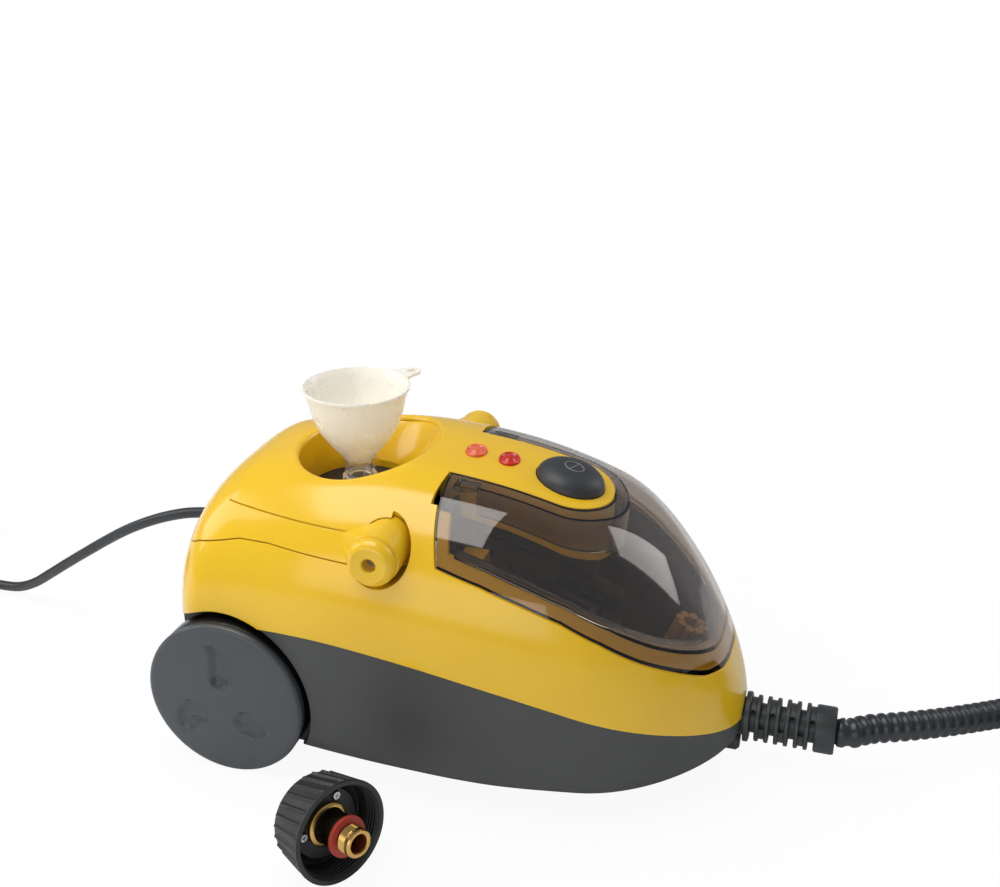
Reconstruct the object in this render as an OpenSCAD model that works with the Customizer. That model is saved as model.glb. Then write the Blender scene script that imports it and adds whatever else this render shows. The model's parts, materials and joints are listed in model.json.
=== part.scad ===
// Canister wallpaper steamer: rolling boiler housing, steam hose and gun, filling funnel and safety cap.
// Frame: X forward to the hose, Y to the left, Z up. The origin is on the floor, midway between the rear wheels.

/* [Housing] */
// Length of the housing from its back to its nose
housing_length = 391; // [380:1:410]
// How far the housing reaches behind the rear axle
rear_overhang = 60; // [56:1:62]
// Widest width of the housing
housing_width = 229; // [222:1:236]
// Height of the top of the housing above the floor
housing_height = 209; // [206:1:213]
// Highest point of the seam between the upper and lower shell
seam_height = 113; // [110:1:116]
// Gap between the floor and the underside
floor_gap = 6; // [5:0.5:8]
// Wall of the moulded shells
wall = 2.6; // [2.2:0.1:3]

/* [Wheels] */
// Radius of a rear wheel
wheel_r = 56; // [54:0.5:57]
// Width of a rear wheel, without its cover
wheel_width = 21; // [18:0.5:23]
// Distance from the middle of the machine to the face of a wheel cover
wheel_face_y = 116; // [115:0.5:119]
// Radius of the steel rear axle
axle_r = 4; // [3:0.1:5]
// Running clearance of a wheel on its axle
axle_clearance = 0.06; // [0.03:0.01:0.1]
// Gap around a wheel in its arch
arch_gap = 4.5; // [3:0.5:6]
// Radius of the front castor wheel
castor_r = 13; // [11:0.5:14]
// Distance from the rear axle to the castor swivel
castor_x = 268; // [260:1:272]
// How far the castor wheel trails its swivel
castor_trail = 8; // [6:0.5:10]

/* [Carry handle] */
// Distance from the rear axle forward to the handle pivot
pivot_x = 107.5; // [104:0.5:110]
// Height of the handle pivot
pivot_z = 173.5; // [171:0.5:175]
// Distance from the middle of the machine to the face of a handle hub
hub_face_y = 114; // [111:0.5:116]
// Radius of a handle hub
hub_r = 16.5; // [15:0.5:17.5]
// Thickness of the handle
handle_depth = 9; // [7:0.5:10]
// Gap between the handle and its recess
handle_gap = 0.8; // [0.6:0.1:1.2]
// Radius of the handle pivot pins
pivot_pin_r = 4; // [3:0.1:5]

/* [Filler] */
// Distance from the rear axle forward to the filler axis
filler_x = 55; // [53:0.5:57]
// Height of the dark floor of the filler well
well_floor_z = 168; // [166:0.5:170]
// Radius of the filler well at its floor
well_r = 37; // [35:0.5:39]
// Inner radius of the brass filler neck
neck_r = 9; // [8:0.25:10]
// Height of the mouth of the filler neck
neck_z = 176.5; // [175:0.5:178]

/* [Funnel] */
// Radius of the funnel rim
funnel_rim_r = 36.4; // [33:0.2:38]
// Height of the funnel above its flange
funnel_height = 66; // [60:1:72]
// Wall of the funnel
funnel_wall = 1.4; // [1.2:0.1:2]
// Radius of the flange that sits on the neck
funnel_flange_r = 12; // [11.5:0.1:13]

/* [Accessory lid] */
// Where the lid starts, forward of the rear axle
lid_x = 134; // [132:0.5:136]
// Thickness of the clear lid
lid_wall = 2.4; // [2:0.1:3]
// Gap between the lid and the housing
lid_gap = 0.9; // [0.7:0.1:1.3]
// Half the width of the spine that carries the switch and lamps
spine_half = 34; // [33:0.5:36]
// Front end of the spine, forward of the rear axle
spine_end_x = 234; // [232:0.5:236]

/* [Controls] */
// Distance from the rear axle forward to the switch dome
switch_x = 205; // [203:0.5:207]
// Radius of the switch dome
switch_r = 23; // [20:0.5:24]
// Height of the switch dome above the spine
switch_rise = 10; // [8:0.5:12]
// Distance from the rear axle forward to the heating lamp
heat_lamp_x = 140; // [139:0.5:143]
// Distance from the rear axle forward to the power lamp
power_lamp_x = 163; // [161:0.5:166]
// Half the length of a lamp lens across the machine
lamp_half = 9.5; // [8:0.5:11]

/* [Boiler] */
// Radius of the boiler
boiler_r = 45; // [42:0.5:46]
// Length of the boiler across the machine
boiler_length = 150; // [130:1:156]
// Height of the boiler axis
boiler_z = 107; // [105:0.5:109]

/* [Hose and cord] */
// Outer radius of the ribbed steam hose
hose_r = 10; // [8.5:0.25:11]
// Height of the hose outlet in the nose
outlet_z = 34.5; // [33:0.5:36]
// Length of the bend guard at the outlet
guard_length = 60; // [52:1:66]
// Radius of the bend guard's collar
guard_r = 16; // [14.5:0.25:17]
// Radius of the mains cord
cord_r = 4; // [3.4:0.1:4.4]
// Height where the mains cord leaves the back
cord_z = 127; // [124:1:130]

/* [Safety cap] */
// Radius of the cap at its rim
cap_r = 32.8; // [31:0.2:34]
// Depth of the cap
cap_depth = 33; // [30:0.5:36]
// Number of finger flutes on the cap
cap_flutes = 26; // [20:1:30]
// Radius of the cap's threaded end
cap_thread_r = 8.9; // [8.2:0.1:9.6]

/* [Steam gun] */
// Length of the steam gun's barrel
gun_length = 150; // [130:1:170]
// Thickness of the steam gun
gun_width = 40; // [36:1:46]
// Length of the steam gun's grip
grip_length = 96; // [86:1:106]
// Radius of the nozzle that accessories push onto
nozzle_r = 9; // [8:0.25:10]

/* [Hidden] */

$fn = 48;
far = 400;

// Outline of the housing: each entry is [share of the length from the back, share of the size].
width_profile = [[0, 0.88], [0.153, 0.92], [0.307, 0.98], [0.46, 1], [0.614, 0.98],
                 [0.767, 0.885], [0.895, 0.755], [1, 0.63]];
seam_profile = [[0, 0.86], [0.153, 0.955], [0.307, 1], [0.46, 0.96], [0.614, 0.863],
                [0.767, 0.704], [0.895, 0.527], [1, 0.36]];
top_profile = [[0, 0.88], [0.153, 0.947], [0.269, 0.981], [0.384, 1], [0.512, 0.986],
               [0.639, 0.947], [0.767, 0.876], [0.895, 0.751], [1, 0.612]];
keel_profile = [[0, 14], [0.153, 9], [0.307, 7], [0.46, 6], [0.614, 6],
                [0.767, 8], [0.895, 8], [1, 9]];
top_power = 1.95;
side_power = 3.1;
keel_power = 6;
rear_round = 40;
rear_power = 2.1;
nose_round = 98;
nose_power = 2.12;
top_rear_round = 56;
top_nose_round = 103;
top_end_power = 1.92;

x_rear = -rear_overhang;
x_nose = housing_length - rear_overhang;
x_mid = (x_rear + x_nose) / 2;

// Smooth curve through the points of a profile.
function span_of(s, p, i = 0) = i >= len(p) - 2 || s < p[i + 1][0] ? i : span_of(s, p, i + 1);
function slope_of(p, i) =
  let (a = p[max(i - 1, 0)], b = p[min(i + 1, len(p) - 1)]) (b[1] - a[1]) / (b[0] - a[0]);
function curve(s, p) =
  let (i = span_of(s, p), h = p[i + 1][0] - p[i][0], t = (min(max(s, 0), 1) - p[i][0]) / h)
  (2 * t ^ 3 - 3 * t ^ 2 + 1) * p[i][1] + (t ^ 3 - 2 * t ^ 2 + t) * h * slope_of(p, i)
  + (3 * t ^ 2 - 2 * t ^ 3) * p[i + 1][1] + (t ^ 3 - t ^ 2) * h * slope_of(p, i + 1);

// Share of the full size that is left at a distance from a rounded end.
function end_share(distance, round_length, power) =
  (1 - min(max((round_length - distance) / round_length, 0), 1) ^ power + 1e-6) ^ (1 / power);
function share(x) = (x - x_rear) / housing_length;
function ends(x) = end_share(x - x_rear, rear_round, rear_power)
  * end_share(x_nose - x, nose_round, nose_power);
function half_width(x) = housing_width / 2 * curve(share(x), width_profile) * ends(x);
function seam_z(x) = seam_height * curve(share(x), seam_profile);
function top_z(x) = seam_z(x) + (housing_height * curve(share(x), top_profile) - seam_z(x))
  * end_share(x - x_rear, top_rear_round, top_end_power)
  * end_share(x_nose - x, top_nose_round, top_end_power);
function keel_z(x) = seam_z(x)
  - (seam_z(x) - curve(share(x), keel_profile) - floor_gap + 6) * ends(x) ^ 0.7;
// Half the width of the upper shell at a height.
function side_y(x, z) = half_width(x)
  * (1 - min((z - seam_z(x)) / (top_z(x) - seam_z(x)), 1) ^ top_power) ^ (1 / side_power);
function top_slope(x) = atan((top_z(x + 2) - top_z(x - 2)) / 4);

// Stations along the housing, closer together where the ends turn in.
station_count = 15;
section_steps = 12;
keel_steps = 12;
stations = [for (i = [0:station_count]) x_mid - (housing_length / 2 - 0.05) * cos(180 * i / station_count)];
// A station of the inset form keeps the wall at the ends too.
function inset_station(x, inset) = x_mid + (x - x_mid) * (housing_length - 2 * inset) / housing_length;

function root_of(v, power) = sign(v) * abs(v) ^ (2 / power);
function upper_section(x, inset, drop) =
  let (w = max(half_width(x) - inset, 0.05), z = seam_z(x), h = max(top_z(x) - inset - z, 0.05))
  concat(
    [for (j = [0:section_steps]) let (a = 180 * j / section_steps)
      [inset_station(x, inset), -w * root_of(cos(a), side_power), z + h * root_of(sin(a), top_power)]],
    drop > 0 ? [[inset_station(x, inset), w, z - drop], [inset_station(x, inset), -w, z - drop]] : []);
function corner_angle(u) = 90 * u ^ 3 / (u ^ 3 + (1 - u) ^ 3);
function lower_section(x, inset, rise) =
  let (w = max(half_width(x) - 1 - inset, 0.05), z = seam_z(x), d = max(z - keel_z(x) - inset, 0.05))
  concat(
    rise > 0 ? [[inset_station(x, inset), -w, z + rise], [inset_station(x, inset), w, z + rise]] : [],
    [for (j = [0:keel_steps])
      let (u = 2 * j / keel_steps, a = u <= 1 ? corner_angle(u) : 180 - corner_angle(2 - u))
      [inset_station(x, inset), w * root_of(cos(a), keel_power), z - d * root_of(sin(a), keel_power)]]);

// Closed solid through rings of equal count, faces as triangles.
module loft(rings) {
  n = len(rings);
  k = len(rings[0]);
  polyhedron(
    points = [for (r = rings, p = r) p],
    faces = concat(
      [for (i = [0:n - 2], j = [0:k - 1]) let (a = i * k + j, b = i * k + (j + 1) % k) [a, b, a + k]],
      [for (i = [0:n - 2], j = [0:k - 1]) let (a = i * k + j, b = i * k + (j + 1) % k) [b, b + k, a + k]],
      [for (j = [1:k - 2]) [0, j + 1, j]],
      [for (j = [1:k - 2]) [(n - 1) * k, (n - 1) * k + j, (n - 1) * k + j + 1]]));
}
module upper_form(inset = 0, drop = 0) {
  loft([for (x = stations) upper_section(x, inset, drop)]);
}
module lower_form(inset = 0, rise = 0) {
  loft([for (x = stations) lower_section(x, inset, rise)]);
}

// Extrudes an outline of [x, z] points across the machine.
module across(points, grow = 0) {
  rotate([90, 0, 0])
    linear_extrude(far, center = true)
      offset(delta = grow) polygon(points);
}
module axle_cylinder(r, y0, y1) {
  translate([0, y0, 0]) rotate([-90, 0, 0]) cylinder(r = r, h = y1 - y0);
}
module both_sides() {
  children();
  mirror([0, 1, 0]) children();
}

// Outlines seen from the side, as [x, z].
handle_front_x = -8;
arm_half = 8.5;
handle_outline = [
  [pivot_x, pivot_z - arm_half], [60, pivot_z - 7], [30, pivot_z - 6], [8, pivot_z - 7.5],
  [-24, pivot_z - 16], [-50, pivot_z - 30], [x_rear - 20, pivot_z - 36], [x_rear - 20, far],
  [handle_front_x + 25, far], [handle_front_x, pivot_z + 15], [handle_front_x + 5, pivot_z + arm_half],
  [pivot_x, pivot_z + arm_half]];
lid_outline = [
  [lid_x, far], [lid_x, 206], [lid_x + 11, 169], [173, 161], [198, 152], [223, 142], [247, 129],
  [270, 114], [293, 100], [307, 91], [316, 87.5], [x_nose + 20, 87], [x_nose + 20, far]];
tray_floor_back = 126;
tray_floor_front = 57;
tray_outline = [
  [lid_x + 4, far], [lid_x + 4, tray_floor_back], [306, tray_floor_front], [x_nose + 20, 87],
  [x_nose + 20, far]];
shelf_width = 6;
// Half the width and the radius of the space that the rear edge of the lid swings down into.
lid_swing_half = 66;
lid_swing_r = 10.8;
spine_depth = 20;
lid_depth = lid_wall + lid_gap;
handle_floor = handle_depth + handle_gap;
handle_skin = 3.4;

module handle_zone(grow = 0) { across(handle_outline, grow); }
// Space inside the handle. Each arm has an upright inner face, so that it lifts clear of the housing.
module handle_core(depth, gap) {
  upper_form(depth + gap, 8);
  side = [for (x = [handle_front_x:14.5:pivot_x + 20]) [x, side_y(x, pivot_z + arm_half) + 0.5 - gap]];
  linear_extrude(far)
    polygon(concat(side, [for (i = [len(side) - 1:-1:0]) [side[i][0], -side[i][1]]]));
}
module lid_zone(grow = 0) { across(lid_outline, grow); }
module spine_plan(grow = 0) {
  linear_extrude(far)
    offset(delta = grow)
      polygon(concat(
        [[lid_x - 8, -spine_half]],
        [for (a = [-90:10:90])
          [switch_x + (spine_end_x - switch_x) * cos(a), spine_half * sin(a)]],
        [[lid_x - 8, spine_half]]));
}
// Filler well: round at its floor, opening into a finger scoop towards the nose.
module well_form(grow = 0) {
  hull() {
    translate([filler_x, 0, well_floor_z]) cylinder(r = well_r + grow, h = 6);
    translate([filler_x + 9, 0, well_floor_z + 34])
      scale([47 + grow, 55 + grow, 1]) cylinder(r = 1, h = 30);
  }
}
module arch_cut(grow = 0) {
  both_sides() axle_height() axle_cylinder(wheel_r + arch_gap + grow, arch_y - grow, far / 2);
}
module axle_height() { translate([0, 0, wheel_r]) children(); }
arch_y = wheel_face_y - wheel_width - 9;

// Where a feature on top of the housing stands, tilted to its slope.
module on_top(x) {
  translate([x, 0, top_z(x)]) rotate([0, -top_slope(x), 0]) children();
}
post_facets = 8;
module rounded_post(x, y, z0, z1, r) {
  hull() {
    translate([x, y, z0]) cylinder(r = r, h = 1, $fn = post_facets);
    translate([x, y, z1 - 1]) cylinder(r = r * 0.8, h = 1, $fn = post_facets);
  }
}
screw_points = [for (x = [-34, 104, 232], y = [-1, 1]) [x, y]];
function screw_y(x) = half_width(x) - 21;

module shell_hollow() {
  difference() {
    upper_form(wall, 8);
    handle_zone(handle_gap + wall);
  }
  upper_form(handle_floor + wall, 8);
}
module lid_shelf() {
  intersection() {
    difference() {
      upper_form(wall - 0.3);
      upper_form(lid_depth + wall, 8);
    }
    difference() {
      lid_zone(3);
      lid_zone(-shelf_width);
      spine_plan(-wall);
      translate([lid_x - 8, -lid_swing_half, hinge_z - 14]) cube([20, 2 * lid_swing_half, 40]);
    }
  }
}
// Ledge from the side of the housing in to the tray.
module lid_ledge() {
  difference() {
    intersection() {
      upper_form(wall - 0.3, 8);
      lid_zone(3);
    }
    lid_zone(0);
    tray_sides(0.2);
    translate([0, -far / 2, 0]) cube([lid_x + 11, far, far]);
  }
}
module spine_walls() {
  intersection() {
    difference() {
      upper_form(0.5);
      upper_form(spine_depth, 8);
    }
    difference() {
      spine_plan();
      spine_plan(-wall);
    }
    translate([lid_x - 4, -far / 2, 0]) cube([far, far, far]);
  }
}
switch_well_r = switch_r + 0.5;
switch_stroke = 3;
module switch_well(r, depth) {
  on_top(switch_x) translate([0, 0, -depth]) cylinder(r = r, h = depth + 20);
}
module lamp_oval(grow, z0, z1) {
  translate([0, 0, z0])
    scale([0.72, 1, 1]) cylinder(r = lamp_half + grow, h = z1 - z0, $fn = 20);
}
// Sides of a round opening in a moulded shell.
shell_facets = 28;
pocket_r = 20;
pocket_y = 82;
hub_bottom_y = pocket_y + 1;
module upper_shell() {
  $fn = shell_facets;
  color("gold")
    difference() {
      union() {
        difference() {
          upper_form();
          shell_hollow();
        }
        intersection() {
          upper_form();
          difference() {
            well_form(wall);
            translate([-far / 2, -far / 2, 0]) cube([far, far, well_floor_z - 3]);
          }
        }
        lid_shelf();
        lid_ledge();
        spine_walls();
        intersection() {
          upper_form();
          switch_well(switch_well_r + wall, 14);
        }
        intersection() {
          upper_form(1);
          both_sides() pivot_height() axle_cylinder(pocket_r + wall, pocket_y - 14, far / 2);
        }
        intersection() {
          upper_form(1);
          for (p = screw_points)
            rounded_post(p[0], p[1] * screw_y(p[0]), seam_z(p[0]), housing_height, 6);
        }
      }
      difference() {
        handle_zone(handle_gap);
        handle_core(handle_depth, handle_gap);
      }
      both_sides() pivot_height() {
        axle_cylinder(pocket_r, pocket_y, far / 2);
        axle_cylinder(pivot_pin_r, pocket_y - 15, far / 2);
      }
      difference() {
        lid_zone(lid_gap);
        spine_plan();
        upper_form(lid_depth);
      }
      difference() {
        translate([hinge_x, 0, hinge_z]) rotate([90, 0, 0])
          cylinder(r = lid_swing_r, h = 2 * lid_swing_half, center = true);
        spine_plan();
      }
      well_form();
      switch_well(switch_well_r, 10);
      switch_well(8, 16);
      for (x = [heat_lamp_x, power_lamp_x]) on_top(x) lamp_oval(0.2, -9, 9);
      arch_cut();
      for (p = screw_points)
        translate([p[0], p[1] * screw_y(p[0]), 0]) cylinder(r = 1.5, h = seam_z(p[0]) + 16, $fn = post_facets);
      translate([x_rear - 1, cord_y, cord_z]) rotate([0, 90, 0]) cylinder(r = cord_r + 3, h = 24);
      for (s = [-1, 1]) hinge_axis(s) cylinder(r = hinge_pin_r, h = 30, center = true, $fn = 24);
      translate([x_nose - 16, 0, outlet_z]) rotate([0, 90, 0]) cylinder(r = guard_neck_r + 0.1, h = 40);
      translate([x_nose - 1.5, 0, outlet_z]) rotate([0, 90, 0]) cylinder(r = guard_r + 1.5, h = 40);
    }
}
module pivot_height() { translate([pivot_x, 0, pivot_z]) children(); }
cord_y = 5;
hinge_pin_r = 1.5;
hinge_x = lid_x + 8;
hinge_z = top_z(hinge_x) - 6.5;
module hinge_axis(side) {
  translate([hinge_x, side * (spine_half + 5), hinge_z]) rotate([90, 0, 0]) children();
}

// Lower shell with wheel arches, castor socket and outlet chin.
castor_socket_r = castor_r + castor_trail + 5;
castor_roof_z = 2 * castor_r + 8;
module lower_shell() {
  $fn = shell_facets;
  color([0.28, 0.29, 0.29])
    difference() {
      union() {
        difference() {
          lower_form();
          lower_form(wall, 8);
        }
        intersection() {
          lower_form();
          union() {
            both_sides() axle_height()
              axle_cylinder(wheel_r + arch_gap + wall, arch_y - wall, far / 2);
            translate([castor_x, 0, 0]) cylinder(r = castor_socket_r + wall, h = castor_roof_z + wall);
            translate([castor_x, 0, castor_roof_z]) cylinder(r = 9, h = 16);
            for (p = screw_points)
              rounded_post(p[0], p[1] * screw_y(p[0]), 0, seam_z(p[0]), 7);
          }
        }
        intersection() {
          lower_form();
          translate([x_nose - 26, 0, outlet_z]) rotate([0, 90, 0]) cylinder(r = guard_r + wall, h = 30);
        }
        hull() {
          translate([x_nose - 24, 0, floor_gap + 8]) rotate([0, 90, 0]) cylinder(r = 7, h = 22);
          translate([x_nose - 16, 0, outlet_z]) rotate([0, 90, 0]) cylinder(r = 9, h = 14);
        }
        for (x = [30:40:190]) keel_rib(x);
      }
      arch_cut();
      translate([castor_x, 0, -1]) cylinder(r = castor_socket_r, h = castor_roof_z + 1);
      translate([castor_x, 0, 0]) cylinder(r = castor_stem_r + axle_clearance, h = far);
      translate([x_nose - 26, 0, outlet_z]) rotate([0, 90, 0]) cylinder(r = guard_neck_r, h = 60);
      axle_height() axle_cylinder(axle_r + axle_clearance, -far / 2, far / 2, $fn = 16);
      for (p = screw_points)
        translate([p[0], p[1] * screw_y(p[0]), -1]) {
          cylinder(r = 4.6, h = 1 + screw_head_z, $fn = post_facets);
          cylinder(r = 1.9, h = far, $fn = post_facets);
        }
    }
}
castor_stem_r = 4;
guard_neck_r = 13;
screw_head_z = 30;
// A low stiffening rib across the floor of the lower shell.
module keel_rib(x) {
  intersection() {
    lower_form(1);
    hull() {
      for (s = [-1, 1]) translate([x, 70 * s, 0]) cylinder(r = 1.4, h = keel_z(x) + wall + 9, $fn = 4);
    }
  }
}

// Filler neck, its dark surround and seal.
module well_floor() {
  color([0.17, 0.16, 0.16])
    translate([filler_x, 0, 0])
      difference() {
        translate([0, 0, well_floor_z - 3]) cylinder(r = well_r - 0.4, h = 3);
        translate([0, 0, well_floor_z - 4]) cylinder(r = neck_r + 6.5, h = 6);
        for (a = [45:90:315])
          rotate([0, 0, a]) translate([well_r - 7, 0, well_floor_z - 4]) cylinder(r = 1.8, h = 6);
      }
}
neck_wall = 3.2;
neck_base_z = boiler_z + boiler_r - 6;
neck_base_r = neck_r + neck_wall + 6;
module filler_neck() {
  color([0.72, 0.55, 0.3])
    translate([filler_x, 0, 0])
      rotate_extrude()
        polygon([
          [neck_r, neck_base_z], [neck_base_r, neck_base_z], [neck_base_r, neck_base_z + 9], [neck_r + neck_wall, neck_base_z + 11],
          [neck_r + neck_wall, neck_z - 1], [neck_r + neck_wall - 1, neck_z], [neck_r, neck_z]]);
}
module neck_seal() {
  color([0.55, 0.2, 0.15])
    translate([filler_x, 0, well_floor_z - 3])
      difference() {
        cylinder(r = neck_r + 6.3, h = 4.5);
        translate([0, 0, -1]) cylinder(r = neck_r + neck_wall + 0.1, h = 8);
      }
}

// Boiler: two deep-drawn halves welded at a band, lying across the machine.
boiler_wall = 1.5;
band_width = 6;
band_rise = 2.2;
module boiler_profile(r, l, end) {
  polygon(concat(
    [[0, 0]], [[r, 0]],
    [for (a = [0:10:90]) [r - end + end * cos(a), l - end + end * sin(a)]],
    [[0, l]]));
}
module boiler_half(side) {
  half = boiler_length / 2;
  color([0.75, 0.75, 0.76])
    translate([filler_x, 0, boiler_z])
      rotate([side > 0 ? -90 : 90, 0, 0])
        difference() {
          rotate_extrude() boiler_profile(boiler_r, half, 26);
          translate([0, 0, -1])
            rotate_extrude() boiler_profile(boiler_r - boiler_wall, half - boiler_wall + 1, 26 - boiler_wall);
          rotate([side > 0 ? 90 : -90, 0, 0]) {
            cylinder(r = neck_base_r + 0.05, h = boiler_r + 20);
            elbow_hole();
          }
        }
}
module boiler_left() { boiler_half(1); }
module boiler_right() { boiler_half(-1); }
module boiler_band() {
  color([0.6, 0.6, 0.62])
    translate([filler_x, 0, boiler_z])
      difference() {
        rotate([90, 0, 0])
          difference() {
            cylinder(r = boiler_r + band_rise, h = band_width, center = true);
            cylinder(r = boiler_r, h = band_width + 2, center = true);
          }
        cylinder(r = neck_base_r + 0.05, h = boiler_r + 20);
        elbow_hole();
      }
}
// Where the steam elbow goes through the wall, seen from the middle of the boiler.
module elbow_hole() {
  translate([boiler_r * 0.6, 0, elbow_z - boiler_z]) rotate([0, 90, 0]) cylinder(r = elbow_hex_r + 0.05, h = boiler_r);
}
elbow_hex_r = 7;
elbow_z = boiler_z + 22;
bracket_y = 44;
module boiler_brackets() {
  color([0.55, 0.56, 0.58])
    both_sides()
      translate([filler_x, bracket_y, 0])
        difference() {
          translate([-boiler_r * 0.8, -6, floor_gap + wall + 2])
            cube([boiler_r * 1.6, 12, boiler_z - floor_gap - wall - 16]);
          translate([0, 0, boiler_z]) rotate([90, 0, 0]) cylinder(r = boiler_r, h = 20, center = true);
          translate([-boiler_r * 0.55, -10, floor_gap + wall + 10])
            cube([boiler_r * 1.1, 20, element_z + 16 - floor_gap - wall - 10]);
        }
}
element_r = 4.2;
element_half = 34;
element_z = boiler_z - boiler_r - element_r - 2;
module heating_element() {
  color([0.35, 0.33, 0.32])
    translate([filler_x, 0, element_z]) {
      for (s = [-1, 1])
        translate([s * 12, 0, 0]) rotate([90, 0, 0]) cylinder(r = element_r, h = 2 * element_half, center = true);
      translate([0, element_half, 0])
        rotate_extrude(angle = 180) translate([12, 0]) circle(r = element_r);
      for (s = [-1, 1])
        translate([s * 12, -element_half, 0]) rotate([90, 0, 0]) cylinder(r = 1.8, h = 9);
    }
}
module element_clamp() {
  color([0.7, 0.7, 0.68])
    translate([filler_x, 0, element_z])
      difference() {
        translate([-22, -20, 0]) cube([44, 40, element_r + 8]);
        translate([0, 0, boiler_z - element_z]) rotate([90, 0, 0]) {
          cylinder(r = boiler_r, h = 60, center = true);
          cylinder(r = boiler_r + band_rise + 0.1, h = band_width + 0.4, center = true);
        }
        for (s = [-1, 1])
          translate([s * 12, 0, 0]) rotate([90, 0, 0]) cylinder(r = element_r, h = 60, center = true);
      }
}
module thermostat() {
  color([0.2, 0.2, 0.22])
    translate([filler_x, -26, boiler_z]) rotate([0, 90, 0]) {
      translate([0, 0, boiler_r]) cylinder(r = 8, h = 7);
      translate([0, 0, boiler_r + 7]) cylinder(r = 5.5, h = 4);
      for (s = [-1, 1])
        translate([-1, s * 3 - 0.4, boiler_r + 11]) cube([3, 0.8, 7]);
    }
}
module thermal_fuse() {
  color([0.85, 0.85, 0.8])
    translate([filler_x, 26, boiler_z]) rotate([0, 90, 0]) {
      translate([0, 0, boiler_r]) cylinder(r = 5, h = 5);
      translate([0, 0, boiler_r + 5]) cylinder(r = 2, h = 8);
    }
}
elbow_reach = 12;
pipe_r = 4;
elbow_x = filler_x + sqrt(boiler_r ^ 2 - (elbow_z - boiler_z) ^ 2);
module steam_elbow() {
  color([0.72, 0.55, 0.3]) {
    translate([elbow_x - 2, 0, elbow_z]) rotate([0, 90, 0]) cylinder(r = elbow_hex_r, h = 6, $fn = 6);
    translate([elbow_x + 4, 0, elbow_z]) rotate([0, 90, 0]) cylinder(r = 5, h = elbow_reach - 4);
    translate([elbow_x + elbow_reach, 0, elbow_z]) sphere(r = 6);
    translate([elbow_x + elbow_reach, 0, elbow_z - 14]) cylinder(r = 5, h = 14);
  }
}
// Steam pipe from the elbow down and forward to the outlet.
pipe_start = [elbow_x + elbow_reach, 0, elbow_z - 14];
pipe_run_z = 59;
module steam_pipe() {
  p = [pipe_start, [pipe_start[0], 0, pipe_run_z + 14], [pipe_start[0] + 14, 0, pipe_run_z],
       [x_nose - 50, 0, pipe_run_z - 2], [x_nose - 27, 0, outlet_z + 2], [x_nose - 14, 0, outlet_z]];
  color([0.7, 0.4, 0.25]) tube(spline(p, 2), pipe_r, 8, [0, 1, 0]);
}

// Accessory tray under the clear lid, and what it holds.
tray_inset = lid_depth + wall;
tray_wall = 2;
// How far the sides of the tray rise past the edge of the lid.
tray_rim = 4;
tray_half = 75;
module tray_zone(grow) { across(tray_outline, grow); }
module tray_sides(grow) {
  translate([0, -tray_half - grow, 0]) cube([far, 2 * (tray_half + grow), far]);
}
module accessory_tray() {
  color([0.2, 0.2, 0.2])
    difference() {
      intersection() {
        upper_form(tray_inset, 60);
        tray_zone(0);
        tray_sides(0);
      }
      intersection() {
        upper_form(tray_inset + tray_wall, 58);
        tray_zone(-tray_wall);
        tray_sides(-tray_wall);
      }
      lid_zone(-tray_rim);
      difference() {
        spine_plan(0.5);
        upper_form(spine_depth + 5, 12);
      }
      for (s = [-1, 1]) hinge_axis(s) cylinder(r = 11, h = 60, center = true, $fn = 24);
      for (x = [lid_x + 12:16:lid_x + 140]) tray_slot(x);
    }
}
// Drain slots through the tray floor.
module tray_slot(x) {
  hull() {
    for (y = [-14, 14]) translate([x, y, 30]) cylinder(r = 1.5, h = 110, $fn = 8);
  }
}
function tray_z(x) = tray_floor_back
  + (tray_floor_front - tray_floor_back) * (x - lid_x - 4) / (306 - lid_x - 4) + 2.2;
// Yellow posts at the back of the tray, each with a socket for an accessory.
block_x = lid_x + 13;
block_length = 16;
block_inner_y = 44;
block_outer_y = 72.9;
block_top_z = 158;
module tray_block() {
  color("gold")
    both_sides()
      difference() {
        translate([0, block_outer_y, 0]) rotate([90, 0, 0]) linear_extrude(block_outer_y - block_inner_y)
          polygon([
            [block_x, tray_z(block_x) - 0.1], [block_x + block_length, tray_z(block_x + block_length) - 0.1],
            [block_x + block_length, block_top_z], [block_x, block_top_z]]);
        translate([block_x + 6, block_outer_y - 14, block_top_z - 16]) cylinder(r = 3.5, h = 40);
      }
}
brush_x = 277;
brush_y = -14;
brush_collar_z = 14;
bristle_length = 20;
module brush_place() {
  translate([brush_x, brush_y, tray_z(brush_x) + 2]) rotate([0, 22, 0]) children();
}
module brush_body() {
  color([0.12, 0.12, 0.13])
    brush_place() difference() {
      union() {
        cylinder(r = 11, h = brush_collar_z);
        translate([0, 0, brush_collar_z]) cylinder(r1 = 13, r2 = 11.5, h = 5);
      }
      translate([0, 0, -1]) cylinder(r = 7, h = brush_collar_z + 2);
    }
}
module brush_bristles() {
  color([0.75, 0.6, 0.35])
    brush_place() for (a = [0:45:315])
      rotate([0, 0, a]) translate([8, 0, brush_collar_z + 5]) cylinder(r1 = 2.4, r2 = 2.9, h = bristle_length);
}
module spare_nozzles() {
  color([0.14, 0.14, 0.15]) {
    translate([196, 22, tray_z(196) + 10.6]) rotate([0, 112, 0]) difference() {
      cylinder(r1 = 9, r2 = 7, h = 46);
      translate([0, 0, -1]) cylinder(r = 6, h = 20);
    }
    translate([178, -30, tray_z(178) + 1]) rotate([0, 23, 0]) difference() {
      translate([-14, -22, 0]) cube([62, 34, 20]);
      translate([-10, -18, 4]) cube([54, 26, 20]);
    }
  }
}

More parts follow.
